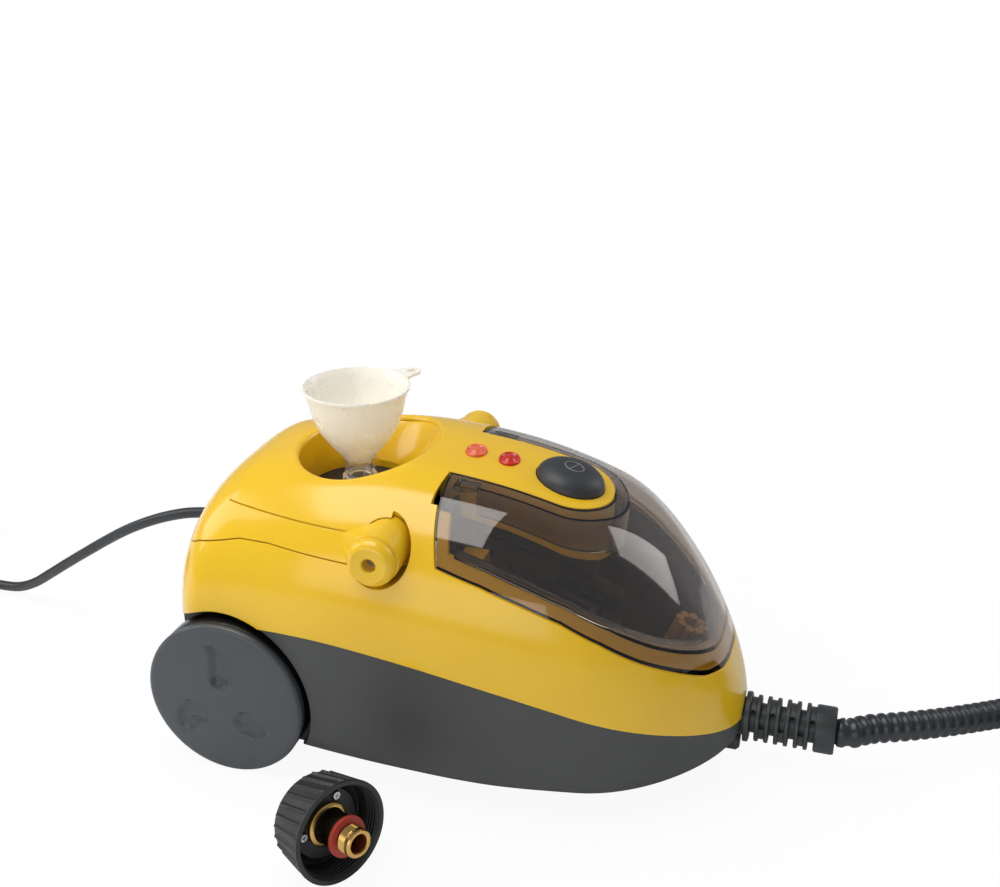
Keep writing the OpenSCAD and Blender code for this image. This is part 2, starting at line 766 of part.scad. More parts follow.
// Switch, lamps and the cover that closes the spine from below.
dome_skirt = 5;
switch_stem_r = 7.4;
module switch_body() {
  color([0.15, 0.15, 0.15])
    on_top(switch_x) {
      translate([-12, -10, -34]) cube([24, 20, 17.8]);
      for (x = [-7, 0, 7]) translate([x - 0.4, -3, -41]) cube([0.8, 6, 7]);
    }
}
module lamp_holders() {
  color([0.2, 0.2, 0.2])
    for (x = [heat_lamp_x, power_lamp_x]) on_top(x) {
      translate([-5, -8, -18]) cube([10, 16, 11.8]);
      for (y = [-4, 4]) translate([-0.4, y - 1, -23]) cube([0.8, 2, 5]);
    }
}
module lamp_lens(x) {
  on_top(x) {
    lamp_oval(0, -6, 1.2);
    scale([0.72, 1, 1]) translate([0, 0, 1.2]) {
      cylinder(r1 = lamp_half, r2 = lamp_half - 1.4, h = 1.4, $fn = 20);
      translate([0, 0, 1.4]) cylinder(r1 = lamp_half - 1.4, r2 = lamp_half - 4.5, h = 1, $fn = 20);
    }
  }
}
module heat_lamp_lens() { color([0.85, 0.35, 0.2]) lamp_lens(heat_lamp_x); }
module power_lamp_lens() { color([0.7, 0.12, 0.08]) lamp_lens(power_lamp_x); }
module spine_cover() {
  color([0.22, 0.22, 0.22])
    hull() {
      translate([lid_x + 16, -spine_half + 8, top_z(lid_x + 16) - 46]) cube([2, 2 * spine_half - 16, 2]);
      translate([switch_x + 20, -spine_half + 14, top_z(switch_x + 20) - 54])
        cube([2, 2 * spine_half - 28, 2]);
    }
}

// Power button: a dome on a stem that presses down against a coil spring.
function dome_radius() = (switch_r ^ 2 + switch_rise ^ 2) / (2 * switch_rise);
module power_button() {
  color([0.23, 0.23, 0.23])
    on_top(switch_x) {
      rotate_extrude()
        polygon(concat(
          [[0, -dome_skirt], [switch_r, -dome_skirt]],
          [for (a = [0:9:90]) let (t = asin(switch_r / dome_radius()) * (1 - a / 90))
            [dome_radius() * sin(t), switch_rise - dome_radius() * (1 - cos(t))]]));
      translate([0, 0, -dome_skirt - 7]) cylinder(r = switch_stem_r, h = 7.5);
    }
}
spring_turns = 2;
spring_r = 11.5;
spring_wire = 0.8;
module button_spring() {
  steps = 16;
  points = [for (i = [0:spring_turns * steps])
    [spring_r * cos(360 * i / steps), spring_r * sin(360 * i / steps),
     -9.2 + 3.4 * i / (spring_turns * steps)]];
  color([0.7, 0.7, 0.72]) on_top(switch_x) tube(points, spring_wire, 5);
}

// Running gear.
hub_bore = axle_r + axle_clearance;
wheel_inner_y = wheel_face_y - 25;
wheel_outer_y = wheel_face_y - 4;
clip_y = wheel_outer_y - 5.7;
clip_r = 7;
module rear_axle() {
  color([0.7, 0.7, 0.72])
    axle_height() axle_cylinder(axle_r, -wheel_outer_y + 2, wheel_outer_y - 2);
}
module axle_brackets() {
  color([0.28, 0.29, 0.29])
    both_sides() difference() {
      translate([-11, 70, keel_z(0) + wall + 1]) cube([22, 12, wheel_r + 9 - keel_z(0) - wall]);
      axle_height() axle_cylinder(axle_r, 60, 90);
    }
}
module axle_clips() {
  color([0.62, 0.62, 0.64])
    both_sides() axle_height() difference() {
      axle_cylinder(clip_r, clip_y, clip_y + 2);
      axle_cylinder(axle_r, clip_y - 1, clip_y + 3);
    }
}
module rear_wheel(side) {
  color([0.16, 0.16, 0.16])
    axle_height() rotate([side > 0 ? -90 : 90, 0, 0])
      rotate_extrude($fn = 72)
        polygon([
          [hub_bore, wheel_inner_y], [14, wheel_inner_y], [14, wheel_inner_y + 7], [18, wheel_inner_y + 9],
          [wheel_r - 13, wheel_inner_y + 9], [wheel_r - 11, wheel_inner_y + 1], [wheel_r - 4, wheel_inner_y],
          [wheel_r - 1, wheel_inner_y + 2], [wheel_r, wheel_inner_y + 5], [wheel_r, wheel_outer_y - 5],
          [wheel_r - 1, wheel_outer_y - 2], [wheel_r - 4, wheel_outer_y],
          [clip_r + 2, wheel_outer_y], [clip_r + 2, clip_y - 0.3], [hub_bore, clip_y - 0.3]]);
}
module wheel_left() { rear_wheel(1); }
module wheel_right() { rear_wheel(-1); }
// A cover has three comma-shaped dimples that run inwards from near the rim.
dimple_depth = 2.2;
module dimple_plan() {
  translate([-3, 38]) circle(r = 7.5, $fn = 28);
  polygon([[-9, 33], [3.5, 34.5], [9.5, 23], [6, 12], [-1, 12.5], [1.5, 22]]);
  translate([2.4, 12.6]) circle(r = 3.6, $fn = 20);
}
module wheel_cover(side) {
  color([0.25, 0.25, 0.25])
    axle_height() rotate([side > 0 ? -90 : 90, 0, 0])
      difference() {
        translate([0, 0, wheel_outer_y])
          rotate_extrude($fn = 72)
            polygon([[0, 0], [wheel_r - 4, 0], [wheel_r - 5, 2], [wheel_r - 8, 3.4], [wheel_r - 13, 4], [0, 4]]);
        for (a = [0, 120, 240])
          translate([0, 0, wheel_face_y - dimple_depth])
            rotate([0, 0, a * side]) linear_extrude(5) scale([side, 1]) dimple_plan();
      }
}
module cover_left() { wheel_cover(1); }
module cover_right() { wheel_cover(-1); }

castor_half = 7;
castor_axle_x = castor_x - castor_trail;
castor_pin_r = 2;
fork_gap = 0.8;
fork_plate = 3;
module castor_fork() {
  plate_z = 2 * castor_r + 1.6;
  color([0.24, 0.24, 0.24])
    difference() {
      union() {
        translate([castor_axle_x - 8, -castor_half - fork_gap - 3, plate_z])
          cube([castor_trail + 16, 2 * (castor_half + fork_gap + 3), fork_plate]);
        for (s = [-1, 1])
          translate([0, s * (castor_half + fork_gap + 1.5), 0]) {
            translate([castor_axle_x - 6, -1.5, castor_r]) cube([castor_trail + 8, 3, plate_z - castor_r + 1]);
            translate([castor_axle_x, 0, castor_r]) rotate([90, 0, 0])
              cylinder(r = 6, h = 3, center = true, $fn = 32);
          }
        translate([castor_x, 0, plate_z]) cylinder(r = castor_stem_r, h = castor_roof_z + 14 - plate_z);
      }
      translate([castor_axle_x, 0, castor_r]) rotate([90, 0, 0])
        cylinder(r = castor_pin_r, h = 40, center = true, $fn = 32);
    }
}
module castor_pin() {
  color([0.7, 0.7, 0.72])
    translate([castor_axle_x, 0, castor_r]) rotate([90, 0, 0])
      cylinder(r = castor_pin_r, h = 2 * (castor_half + fork_gap + 3), center = true, $fn = 32);
}
module castor_wheel() {
  color([0.14, 0.14, 0.14])
    translate([castor_axle_x, 0, castor_r]) rotate([90, 0, 0])
      rotate_extrude()
        polygon([
          [castor_pin_r + axle_clearance, -castor_half], [castor_r - 2, -castor_half],
          [castor_r, -castor_half + 2], [castor_r, castor_half - 2], [castor_r - 2, castor_half],
          [castor_pin_r + axle_clearance, castor_half]]);
}

module shell_screws() {
  color([0.72, 0.72, 0.74])
    for (p = screw_points)
      translate([p[0], p[1] * screw_y(p[0]), 0]) {
        translate([0, 0, screw_head_z - 3]) difference() {
          cylinder(r = 3.6, h = 3, $fn = 24);
          translate([0, 0, -1]) cylinder(r = 1.6, h = 2.2, $fn = 6);
        }
        translate([0, 0, screw_head_z]) cylinder(r = 1.45, h = seam_z(p[0]) + 12 - screw_head_z, $fn = 16);
      }
}
hinge_pin_length = 16;
module hinge_pins() {
  color([0.7, 0.7, 0.72])
    for (s = [-1, 1])
      hinge_axis(s) cylinder(r = hinge_pin_r, h = hinge_pin_length, center = true, $fn = 24);
}
module pivot_pins() {
  color([0.7, 0.7, 0.72])
    both_sides() pivot_height() axle_cylinder(pivot_pin_r, pocket_y - 14, hub_face_y - 8);
}

// Bend guard: a sleeve whose slots lie in turn at its sides and at its top and bottom.
guard_end = x_nose + guard_length;
slot_pitch = 6.4;
module hose_guard() {
  $fn = 36;
  color([0.22, 0.22, 0.22])
    translate([0, 0, outlet_z])
      difference() {
        union() {
          translate([x_nose - 14, 0, 0]) rotate([0, 90, 0]) cylinder(r = guard_neck_r, h = 15);
          translate([x_nose - 1, 0, 0]) rotate([0, 90, 0]) cylinder(r = guard_r + 1, h = 3);
          translate([x_nose + 2, 0, 0]) rotate([0, 90, 0])
            cylinder(r = guard_r - 0.4, h = guard_length - 16);
          translate([guard_end - 14, 0, 0]) rotate([0, 90, 0]) cylinder(r = guard_r, h = 14);
        }
        translate([x_nose - 15, 0, 0]) rotate([0, 90, 0]) cylinder(r = hose_r - 2, h = guard_length + 20);
        for (i = [0:5])
          translate([x_nose + 6 + i * slot_pitch, 0, 0]) rotate([45 + (i % 2) * 90, 0, 0])
            for (s = [-1, 1])
              translate([0, s > 0 ? 3 : -far - 3, -far / 2]) cube([3, far, far]);
      }
}
module cord_guard() {
  color([0.2, 0.2, 0.2])
    translate([x_rear, cord_y, cord_z]) rotate([0, 90, 0]) difference() {
      union() {
        translate([0, 0, -4]) cylinder(r1 = cord_r + 1.2, r2 = cord_r + 2.9, h = 5, $fn = 32);
        translate([0, 0, 1]) cylinder(r = cord_r + 2.9, h = 12, $fn = 32);
      }
      translate([0, 0, -5]) cylinder(r = cord_r - 1, h = 30, $fn = 24);
    }
}

// Carry handle: a bow that makes the rear top corner of the housing, on two round hubs.
module handle_bow() {
  color("gold")
    difference() {
      intersection() {
        upper_form();
        handle_zone();
        union() {
          difference() {
            upper_form(0, 20);
            upper_form(handle_skin, 8);
          }
          for (y = [-80:20:80]) handle_rib(y);
          both_sides() translate([-20, 40, 0]) cube([pivot_x + 20, far, far]);
        }
      }
      handle_core(handle_depth, 0);
      both_sides() pivot_height() axle_cylinder(hub_r, pocket_y - 20, far / 2);
    }
}
// A rib under the skin of the handle.
module handle_rib(y) {
  hull() {
    translate([x_rear - 5, y - 1.2, 100]) cube([1, 2.4, far]);
    translate([handle_front_x, y - 1.2, 100]) cube([1, 2.4, far]);
  }
}
module handle_hubs() {
  color("gold")
    both_sides() pivot_height() rotate([-90, 0, 0])
      rotate_extrude()
        polygon([
          [pivot_pin_r + axle_clearance, hub_bottom_y], [hub_r - 0.1, hub_bottom_y],
          [hub_r - 0.1, hub_face_y - 16], [hub_r - 3, hub_face_y - 14.5], [hub_r - 3, hub_face_y - 11],
          [hub_r - 0.3, hub_face_y - 9.5], [hub_r - 0.3, hub_face_y - 4], [hub_r - 1.4, hub_face_y - 1],
          [hub_r - 3.4, hub_face_y], [4.4, hub_face_y], [4.4, hub_face_y - 7],
          [pivot_pin_r + axle_clearance, hub_face_y - 7]]);
}

// Clear lid: a U that runs down both sides of the spine and meets over the nose.
module lid_shell() {
  color([0.55, 0.55, 0.55, 0.5])
    difference() {
      intersection() {
        union() {
          difference() {
            upper_form();
            upper_form(lid_wall, 8);
          }
          intersection() {
            upper_form(lid_wall - 0.5);
            for (i = [-4:4]) grip_rib(i * 5);
          }
        }
        lid_zone();
        translate([lid_x + 0.4, -far / 2, 0]) cube([far, far, far]);
      }
      spine_plan(lid_gap);
      for (s = [-1, 1]) hinge_axis(s) cylinder(r = hinge_pin_r + 0.3, h = 20, center = true, $fn = 24);
    }
}
// Small ribs under the front edge, for a finger to lift the lid by.
module grip_rib(y) {
  hull() {
    translate([x_nose - 12, y, 84]) sphere(r = 1, $fn = 8);
    translate([x_nose - 12, y, 100]) sphere(r = 1, $fn = 8);
  }
}
lug_y = spine_half + 4;
module lid_arms() {
  color([0.5, 0.5, 0.5])
    difference() {
      for (s = [-1, 1])
        translate([hinge_x, s * (lug_y + 4), hinge_z]) rotate([90, 0, 0]) {
          cylinder(r = 3, h = 8, center = true);
          linear_extrude(8, center = true) polygon([[0, -3], [14, -2], [14, 1.6], [0, 3]]);
        }
      for (s = [-1, 1])
        hinge_axis(s) cylinder(r = hinge_pin_r + axle_clearance, h = 40, center = true, $fn = 24);
    }
}

// Filling funnel with a hanging tab on its rim.
module funnel() {
  z0 = neck_z;
  rim_z = z0 + 1.5 + funnel_height;
  bell = [[0.27, 12.6], [0.36, 17.2], [0.48, 23.9], [0.62, 28.9], [0.78, 32.2], [0.92, 34.4]];
  outer = concat(
    [[neck_r - 0.9, z0 - 20], [neck_r - 0.6, z0], [funnel_flange_r, z0], [funnel_flange_r, z0 + 2.5],
     [10.6, z0 + 3.4], [10.2, z0 + 14], [12.5, z0 + 14.6], [12.5, z0 + 17]],
    [for (p = bell) [p[1], z0 + p[0] * (rim_z - z0)]],
    [[funnel_rim_r, rim_z - 2], [funnel_rim_r, rim_z]]);
  inner = concat(
    [[funnel_rim_r - funnel_wall, rim_z]],
    [for (i = [len(bell) - 1:-1:0])
      [bell[i][1] - funnel_wall, z0 + bell[i][0] * (rim_z - z0) + 0.6]],
    [[8.6, z0 + 14], [neck_r - 2.2, z0], [neck_r - 2.4, z0 - 20]]);
  color([0.82, 0.8, 0.74])
    translate([filler_x, 0, 0]) {
      rotate_extrude($fn = 44) polygon(concat(outer, inner));
      translate([0, 0, rim_z - 2]) linear_extrude(2)
        rotate(56)
          difference() {
            hull() {
              translate([funnel_rim_r - 1, -9]) square([1, 18]);
              translate([funnel_rim_r + 10, 0]) circle(r = 6);
            }
            circle(r = funnel_rim_r - 0.6, $fn = 44);
            hull() {
              translate([funnel_rim_r + 8, 0]) circle(r = 2.4, $fn = 24);
              translate([funnel_rim_r + 10.5, 0]) circle(r = 2.4, $fn = 24);
            }
          }
    }
}

// Safety cap, lying on its side in front of the near wheel.
cap_place = [114.8, -187.5];
cap_turn = -28.5;
cap_lean = asin((cap_r - 29) / cap_depth);
module cap_axis() {
  translate([cap_place[0], cap_place[1], cap_r * cos(cap_lean)])
    rotate([0, 90 - cap_lean, cap_turn]) children();
}
module cap_knob() {
  color([0.13, 0.13, 0.13])
    cap_axis() difference() {
      rotate_extrude()
        polygon([
          [0, -cap_depth], [22, -cap_depth], [26.5, -cap_depth + 1.5], [29, -cap_depth + 5],
          [cap_r, 0], [cap_r - 3, 0], [27, -1.5], [26.5, -15], [11.6, -15], [11.6, -cap_depth + 8],
          [0, -cap_depth + 8]]);
      for (i = [0:cap_flutes - 1])
        rotate([0, 0, 360 * (i + 0.5) / cap_flutes])
          translate([cap_r + 0.3, 0, -cap_depth + 6]) rotate([0, -6, 0])
            cylinder(r = 1.7, h = cap_depth, $fn = 12);
    }
}
cap_screw_ring = 18;
module cap_screws() {
  color([0.75, 0.75, 0.77])
    cap_axis() for (a = [30:120:270])
      rotate([0, 0, a]) translate([cap_screw_ring, 0, -15]) difference() {
        cylinder(r1 = 3.2, r2 = 2.4, h = 2, $fn = 24);
        for (t = [0, 90]) rotate([0, 0, t]) translate([-1.6, -0.35, 1]) cube([3.2, 0.7, 2]);
      }
}
module cap_stem() {
  color([0.6, 0.45, 0.25])
    cap_axis() rotate_extrude()
      polygon([
        [0, -24.5], [11.54, -24.5], [11.54, -15], [14, -14.9], [14, -12], [11, -11.4],
        [11, 4], [cap_thread_r - 0.6, 4], [cap_thread_r - 0.6, 7.5], [cap_thread_r, 8],
        [cap_thread_r, 16.5], [cap_thread_r - 0.8, 17.5], [6, 17.5], [6, -10], [0, -10]]);
}
module cap_washer() {
  color([0.6, 0.16, 0.12])
    cap_axis() translate([0, 0, 4]) difference() {
      cylinder(r = 13, h = 2.6);
      translate([0, 0, -1]) cylinder(r = cap_thread_r - 0.6, h = 5);
    }
}

// Tubes along a path, and paths through points.
function unit(v) = v / norm(v);
function heading(p, i) = unit(p[min(i + 1, len(p) - 1)] - p[max(i - 1, 0)]);
function ring(centre, direction, r, sides, up = [0, 0, 1]) =
  let (a = unit(cross(up, direction)), b = cross(direction, a))
  [for (k = [0:sides - 1]) centre + r * (cos(360 * k / sides) * a - sin(360 * k / sides) * b)];
module tube(points, r, sides, up = [0, 0, 1]) {
  loft([for (i = [0:len(points) - 1]) ring(points[i], heading(points, i), r, sides, up)]);
}
// A point of a smooth curve through four points.
function spline_point(a, b, c, d, t) =
  0.5 * (2 * b + (c - a) * t + (2 * a - 5 * b + 4 * c - d) * t ^ 2 + (3 * b - a - 3 * c + d) * t ^ 3);
function spline(p, steps) = concat(
  [for (i = [0:len(p) - 2], k = [0:steps - 1])
    spline_point(p[max(i - 1, 0)], p[i], p[i + 1], p[min(i + 2, len(p) - 1)], k / steps)],
  [p[len(p) - 1]]);
function distances(p) = [for (i = 0, s = 0; i < len(p); s = s + (i + 1 < len(p) ? norm(p[i + 1] - p[i]) : 0), i = i + 1) s];
function path_length(p) = distances(p)[len(p) - 1];
// The path walked in equal steps.
function even_steps(p, count) =
  let (d = distances(p), total = d[len(p) - 1],
       tables = [for (c = [0:2]) [for (i = [0:len(p) - 1]) [d[i], p[i][c]]]])
  [for (k = [0:count]) [for (c = [0:2]) lookup(total * k / count, tables[c])]];
// Least gap between two stretches of a cord that lie more than half a turn apart.
function least_gap(p, skip, diameter) =
  min([for (i = [0:len(p) - 1 - skip], j = [i + skip:len(p) - 1]) norm(p[i] - p[j])]) - diameter;

// Piled coil: layers spiral in and out by turn, and it climbs in the half turn between them.
function coil_turn(t, turns, layer = 0) =
  t <= turns || layer > 20 ? [layer, t, 0]
  : t <= turns + 0.5 ? [layer, turns, (t - turns) / 0.5]
  : coil_turn(t - turns - 0.5, turns, layer + 1);
function coil_point(t, coil) =
  let (s = coil_turn(t, coil[3]), inward = s[0] % 2 == 0, a = coil[6] - 360 * t,
       r = inward ? coil[2] - coil[4] * s[1] : coil[2] - coil[4] * (coil[3] - s[1]))
  [coil[0][0] + r * cos(a), coil[0][1] + r * sin(a), coil[1] + coil[5] * (s[0] + s[2])];
function coil_path(coil, total, steps) =
  [for (i = [0:round(total * steps)]) coil_point(i / steps, coil)];
// The path that leaves a coil and comes down to a height.
function tail_path(from, direction, reach, z, steps) =
  [for (i = [1:steps]) let (t = i / steps)
    from + direction * reach * t + [0, 0, (z - from[2]) * (3 * t ^ 2 - 2 * t ^ 3)]];

// Mains cord: down to the floor, then a coil of four layers with its plug beside it.
cord_route = [
  [-64, 5, 127], [-72, 5, 127], [-92, 6, 123], [-118, 9, 113], [-145, 13, 99], [-170, 18, 83],
  [-196, 23, 65], [-220, 28, 48], [-242, 33, 32], [-262, 38, 18], [-282, 42, 8.5], [-304, 45, 5],
  [-340, 47, 4.2], [-380, 48, 4.2], [-410, 48, 4.2], [-420, 48, 4.2]];
cord_centre = [-420, 98];
cord_coil_r = 50;
cord_turns = 1.875;
cord_pitch = 9.6;
cord_layer = 9.2;
cord_total_turns = 9;
cord_coil = [cord_centre, 4.2, cord_coil_r, cord_turns, cord_pitch, cord_layer, -90];
plug_r = 18;
plug_x = cord_centre[0] - 100;
module mains_cord() {
  color([0.12, 0.12, 0.12]) tube(even_steps(spline(cord_route, 4), 26), cord_r, 8);
}
function mains_coil_path() =
  let (coil = coil_path(cord_coil, cord_total_turns, 24), last = coil[len(coil) - 1])
  concat(coil, tail_path(last, [-1, 0, 0], last[0] - plug_x, plug_r, 8));
module mains_coil() {
  p = mains_coil_path();
  echo(str("mains coil least gap ", least_gap(p, 13, 2 * cord_r), " mm"));
  echo(str("mains cord length ", path_length(p) + path_length(spline(cord_route, 4)), " mm"));
  color([0.12, 0.12, 0.12]) tube(p, cord_r, 6);
}
plug_pin_r = 2.4;
plug_pin_y = 9.5;
module mains_plug() {
  y = cord_centre[1] - cord_coil_r;
  color([0.12, 0.12, 0.12])
    translate([plug_x, y, plug_r]) rotate([0, -90, 0]) {
      cylinder(r1 = 5, r2 = 7, h = 14);
      translate([0, 0, 14]) cylinder(r1 = 9, r2 = 15, h = 10);
      translate([0, 0, 24]) cylinder(r = plug_r, h = 16);
      translate([0, 0, 40]) for (s = [-1, 1])
        translate([0, s * plug_pin_y, 0]) {
          cylinder(r = plug_pin_r - 0.4, h = 3);
          translate([0, 0, 2]) cylinder(r = plug_pin_r, h = 17);
        }
    }
}

// Steam hose: ribbed, with its bore, from the bend guard through a coil to the gun.
hose_route = [
  [guard_end, 0, outlet_z], [guard_end + 9, 0.4, 34.5], [413, 10, 34], [435, 22, 32.5], [458, 37, 30],
  [482, 55, 27], [505, 76, 22.5], [526, 99, 18], [547, 124, 14.2], [569, 147, 11.8], [594, 167, 10.6],
  [624, 181, 10.4], [662, 188, 10.4]];
hose_centre = [662, 70];
hose_coil_r = 118;
hose_pitch = 24;
hose_layer = 22;
hose_turns = 1;
hose_total_turns = 2.25;
hose_coil_spec = [hose_centre, 10.4, hose_coil_r, hose_turns, hose_pitch, hose_layer, 90];
rib_pitch = 16;
rib_depth = 1.6;
hose_wall = 1.2;
gun_z = gun_width / 2;
grip_x = hose_centre[0] + hose_coil_r - hose_pitch / 4;
gun_y = -189;
barrel_half = 19;
grip_end_y = gun_y + barrel_half + grip_length;
// Outer skin with a ring on each rib and one in each groove, and a plain bore.
module ribbed_hose(path) {
  ribs = round(path_length(path) / rib_pitch);
  skin = even_steps(path, 2 * ribs);
  bore = even_steps(path, ceil(ribs / 2));
  sides = 8;
  rings = concat(
    [for (i = [0:2 * ribs]) ring(skin[i], heading(skin, i), i % 2 == 0 ? hose_r - rib_depth : hose_r, sides)],
    [for (i = [len(bore) - 1:-1:0])
      ring(bore[i], heading(bore, i), hose_r - rib_depth - hose_wall, sides)]);
  n = len(rings);
  polyhedron(
    points = [for (r = rings, p = r) p],
    faces = [for (i = [0:n - 1], j = [0:sides - 1])
      let (a = i * sides + j, b = i * sides + (j + 1) % sides,
           c = ((i + 1) % n) * sides + j, d = ((i + 1) % n) * sides + (j + 1) % sides)
      each [[a, b, c], [b, d, c]]]);
}
module steam_hose() {
  color([0.2, 0.2, 0.2]) ribbed_hose(spline(hose_route, 6));
}
function hose_coil_path() =
  let (coil = coil_path(hose_coil_spec, hose_total_turns, 24), last = coil[len(coil) - 1])
  concat(coil, tail_path(last, [0, -1, 0], last[1] - grip_end_y, gun_z, 8));
module hose_coil() {
  p = hose_coil_path();
  echo(str("steam hose coil least gap ", least_gap(p, 13, 2 * hose_r), " mm"));
  echo(str("steam hose length ", path_length(p) + path_length(spline(hose_route, 6)), " mm"));
  color([0.2, 0.2, 0.2]) ribbed_hose(p);
}

// Steam gun, lying on its side: two halves, a nozzle and a sprung trigger.
gun_wall = 2.4;
gun_front = grip_x + 30 - gun_length;
trigger_x = grip_x - 20;
trigger_y = gun_y + barrel_half + 6;
trigger_pin_r = 2.5;
module gun_outline(grow) {
  butt = barrel_half + grip_length;
  offset(delta = grow)
    translate([0, gun_y]) difference() {
      polygon([
        [gun_front, -13], [gun_front + 30, -barrel_half], [grip_x + 8, -barrel_half], [grip_x + 22, -13],
        [grip_x + 29, 0], [grip_x + 24, 14], [grip_x + 17, 28], [grip_x + 16, butt], [grip_x - 13, butt],
        [grip_x - 13, 86], [grip_x - 46, 86], [grip_x - 51, 81], [grip_x - 51, 40], [grip_x - 54, 27],
        [grip_x - 63, barrel_half], [gun_front + 30, barrel_half], [gun_front, 13]]);
      polygon([
        [grip_x - 46, 80], [grip_x - 13, 80], [grip_x - 13, barrel_half], [grip_x - 50, barrel_half],
        [grip_x - 46, 38]]);
    }
}
module gun_half(side) {
  $fn = 24;
  height = gun_z;
  difference() {
    stepped_body(height, side);
    difference() {
      translate([0, 0, side > 0 ? 0 : -(height - gun_wall)])
        linear_extrude(height - gun_wall) gun_outline(-gun_wall);
      translate([grip_x - 56, gun_y + barrel_half + 2, -height]) cube([44, 80, 2 * height]);
    }
    translate([gun_front - 1, gun_y, 0]) rotate([0, 90, 0]) cylinder(r = nozzle_r - 0.02, h = 20);
    translate([grip_x, grip_end_y - 10, 0]) rotate([-90, 0, 0]) cylinder(r = hose_r - 1.6, h = 12);
    translate([trigger_x - 12, trigger_y - 12, -7.5]) cube([24, 44, 15]);
    translate([trigger_x, trigger_y - 6, 0]) cylinder(r = trigger_pin_r, h = 24, center = true, $fn = 24);
  }
}
module stepped_body(height, side) {
  for (step = [[0, height - 4], [-1.6, height - 1.6], [-3, height]])
    translate([0, 0, side > 0 ? 0 : -step[1]]) linear_extrude(step[1]) gun_outline(step[0]);
}
module gun_lower() {
  color([0.13, 0.13, 0.13])
    translate([0, 0, gun_z]) {
      gun_half(-1);
      translate([trigger_x, trigger_y - 6, 0]) cylinder(r = trigger_pin_r, h = 24, center = true, $fn = 24);
    }
}
module gun_upper() { color([0.15, 0.15, 0.15]) translate([0, 0, gun_z]) gun_half(1); }
nozzle_length = 20;
module gun_nozzle() {
  color([0.3, 0.3, 0.3])
    translate([gun_front - nozzle_length, gun_y, gun_z]) rotate([0, 90, 0]) difference() {
      union() {
        cylinder(r = nozzle_r, h = nozzle_length + 16);
        translate([0, 0, nozzle_length + 4]) cylinder(r = nozzle_r + 2.6, h = 3);
      }
      translate([0, 0, -1]) cylinder(r = nozzle_r - 2.4, h = nozzle_length + 20);
    }
}
module gun_trigger() {
  color([0.5, 0.1, 0.08])
    translate([trigger_x, trigger_y - 6, gun_z]) difference() {
      union() {
        cylinder(r = 5.5, h = 14, center = true, $fn = 32);
        linear_extrude(14, center = true)
          polygon([[-5.5, 0], [5.5, 0], [5, 14], [1, 30], [-2, 44], [-7, 44], [-6, 28], [-4, 14]]);
      }
      cylinder(r = trigger_pin_r + axle_clearance, h = 20, center = true, $fn = 24);
    }
}

lower_shell();
upper_shell();
well_floor();
filler_neck();
neck_seal();
boiler_left();
boiler_right();
boiler_band();
boiler_brackets();
heating_element();
element_clamp();
thermostat();
thermal_fuse();
steam_elbow();
steam_pipe();
accessory_tray();
tray_block();
brush_body();
brush_bristles();
spare_nozzles();
switch_body();
lamp_holders();
heat_lamp_lens();
power_lamp_lens();
spine_cover();
rear_axle();
axle_brackets();
axle_clips();
shell_screws();
hinge_pins();
pivot_pins();
hose_guard();
cord_guard();
handle_bow();
handle_hubs();
wheel_left();
wheel_right();
cover_left();
cover_right();
castor_fork();
castor_pin();
castor_wheel();
lid_shell();
lid_arms();
power_button();
button_spring();
funnel();
cap_knob();
cap_stem();
cap_washer();
cap_screws();
steam_hose();
hose_coil();
mains_cord();
mains_coil();
mains_plug();
gun_lower();
gun_upper();
gun_nozzle();
gun_trigger();
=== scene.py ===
# Canister wallpaper steamer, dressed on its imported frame. Lengths in the dictionaries are millimetres.
import json
import math

import bpy
import numpy as np
from mathutils import Matrix, Vector


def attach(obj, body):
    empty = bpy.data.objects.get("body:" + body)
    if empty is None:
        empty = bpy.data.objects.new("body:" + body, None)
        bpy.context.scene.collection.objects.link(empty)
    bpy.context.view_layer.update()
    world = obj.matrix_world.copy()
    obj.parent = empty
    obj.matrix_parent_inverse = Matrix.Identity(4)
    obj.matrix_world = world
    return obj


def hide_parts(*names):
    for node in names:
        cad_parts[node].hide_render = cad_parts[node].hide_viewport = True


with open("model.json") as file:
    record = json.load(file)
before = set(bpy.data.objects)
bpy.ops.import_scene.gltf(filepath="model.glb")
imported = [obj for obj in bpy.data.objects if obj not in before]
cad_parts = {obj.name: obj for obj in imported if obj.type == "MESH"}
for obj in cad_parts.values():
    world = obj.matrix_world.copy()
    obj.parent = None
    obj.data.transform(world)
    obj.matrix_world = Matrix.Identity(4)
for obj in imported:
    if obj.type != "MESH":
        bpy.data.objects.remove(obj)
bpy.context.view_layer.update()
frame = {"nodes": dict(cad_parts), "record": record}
mm = 0.001
mergeReach = 0.002 * mm
print("frame loaded")

# camera
cameraSet = {"lens": 46.15, "sensor": 36, "place": (0.385, -0.743, 0.552), "azimuth": 17.1, "elevation": 23.5}
turn, tilt = math.radians(cameraSet["azimuth"]), math.radians(cameraSet["elevation"])
backward = Vector((math.sin(turn) * math.cos(tilt), -math.cos(turn) * math.cos(tilt), math.sin(tilt)))
bpy.ops.object.camera_add(location=cameraSet["place"], rotation=(-backward).to_track_quat("-Z", "Y").to_euler())
camera = bpy.context.object
camera.data.lens = cameraSet["lens"]
camera.data.sensor_width = cameraSet["sensor"]
camera.data.clip_start = 0.02
bpy.context.scene.camera = camera


# ways of working that every piece uses
def deselectAll():
    if bpy.context.object and bpy.context.object.mode != "OBJECT":
        bpy.ops.object.mode_set(mode="OBJECT")
    bpy.ops.object.select_all(action="DESELECT")


def pick(piece):
    deselectAll()
    piece.select_set(True)
    bpy.context.view_layer.objects.active = piece


def named(name):
    piece = bpy.context.object
    piece.name = name
    piece.data.name = name
    return piece


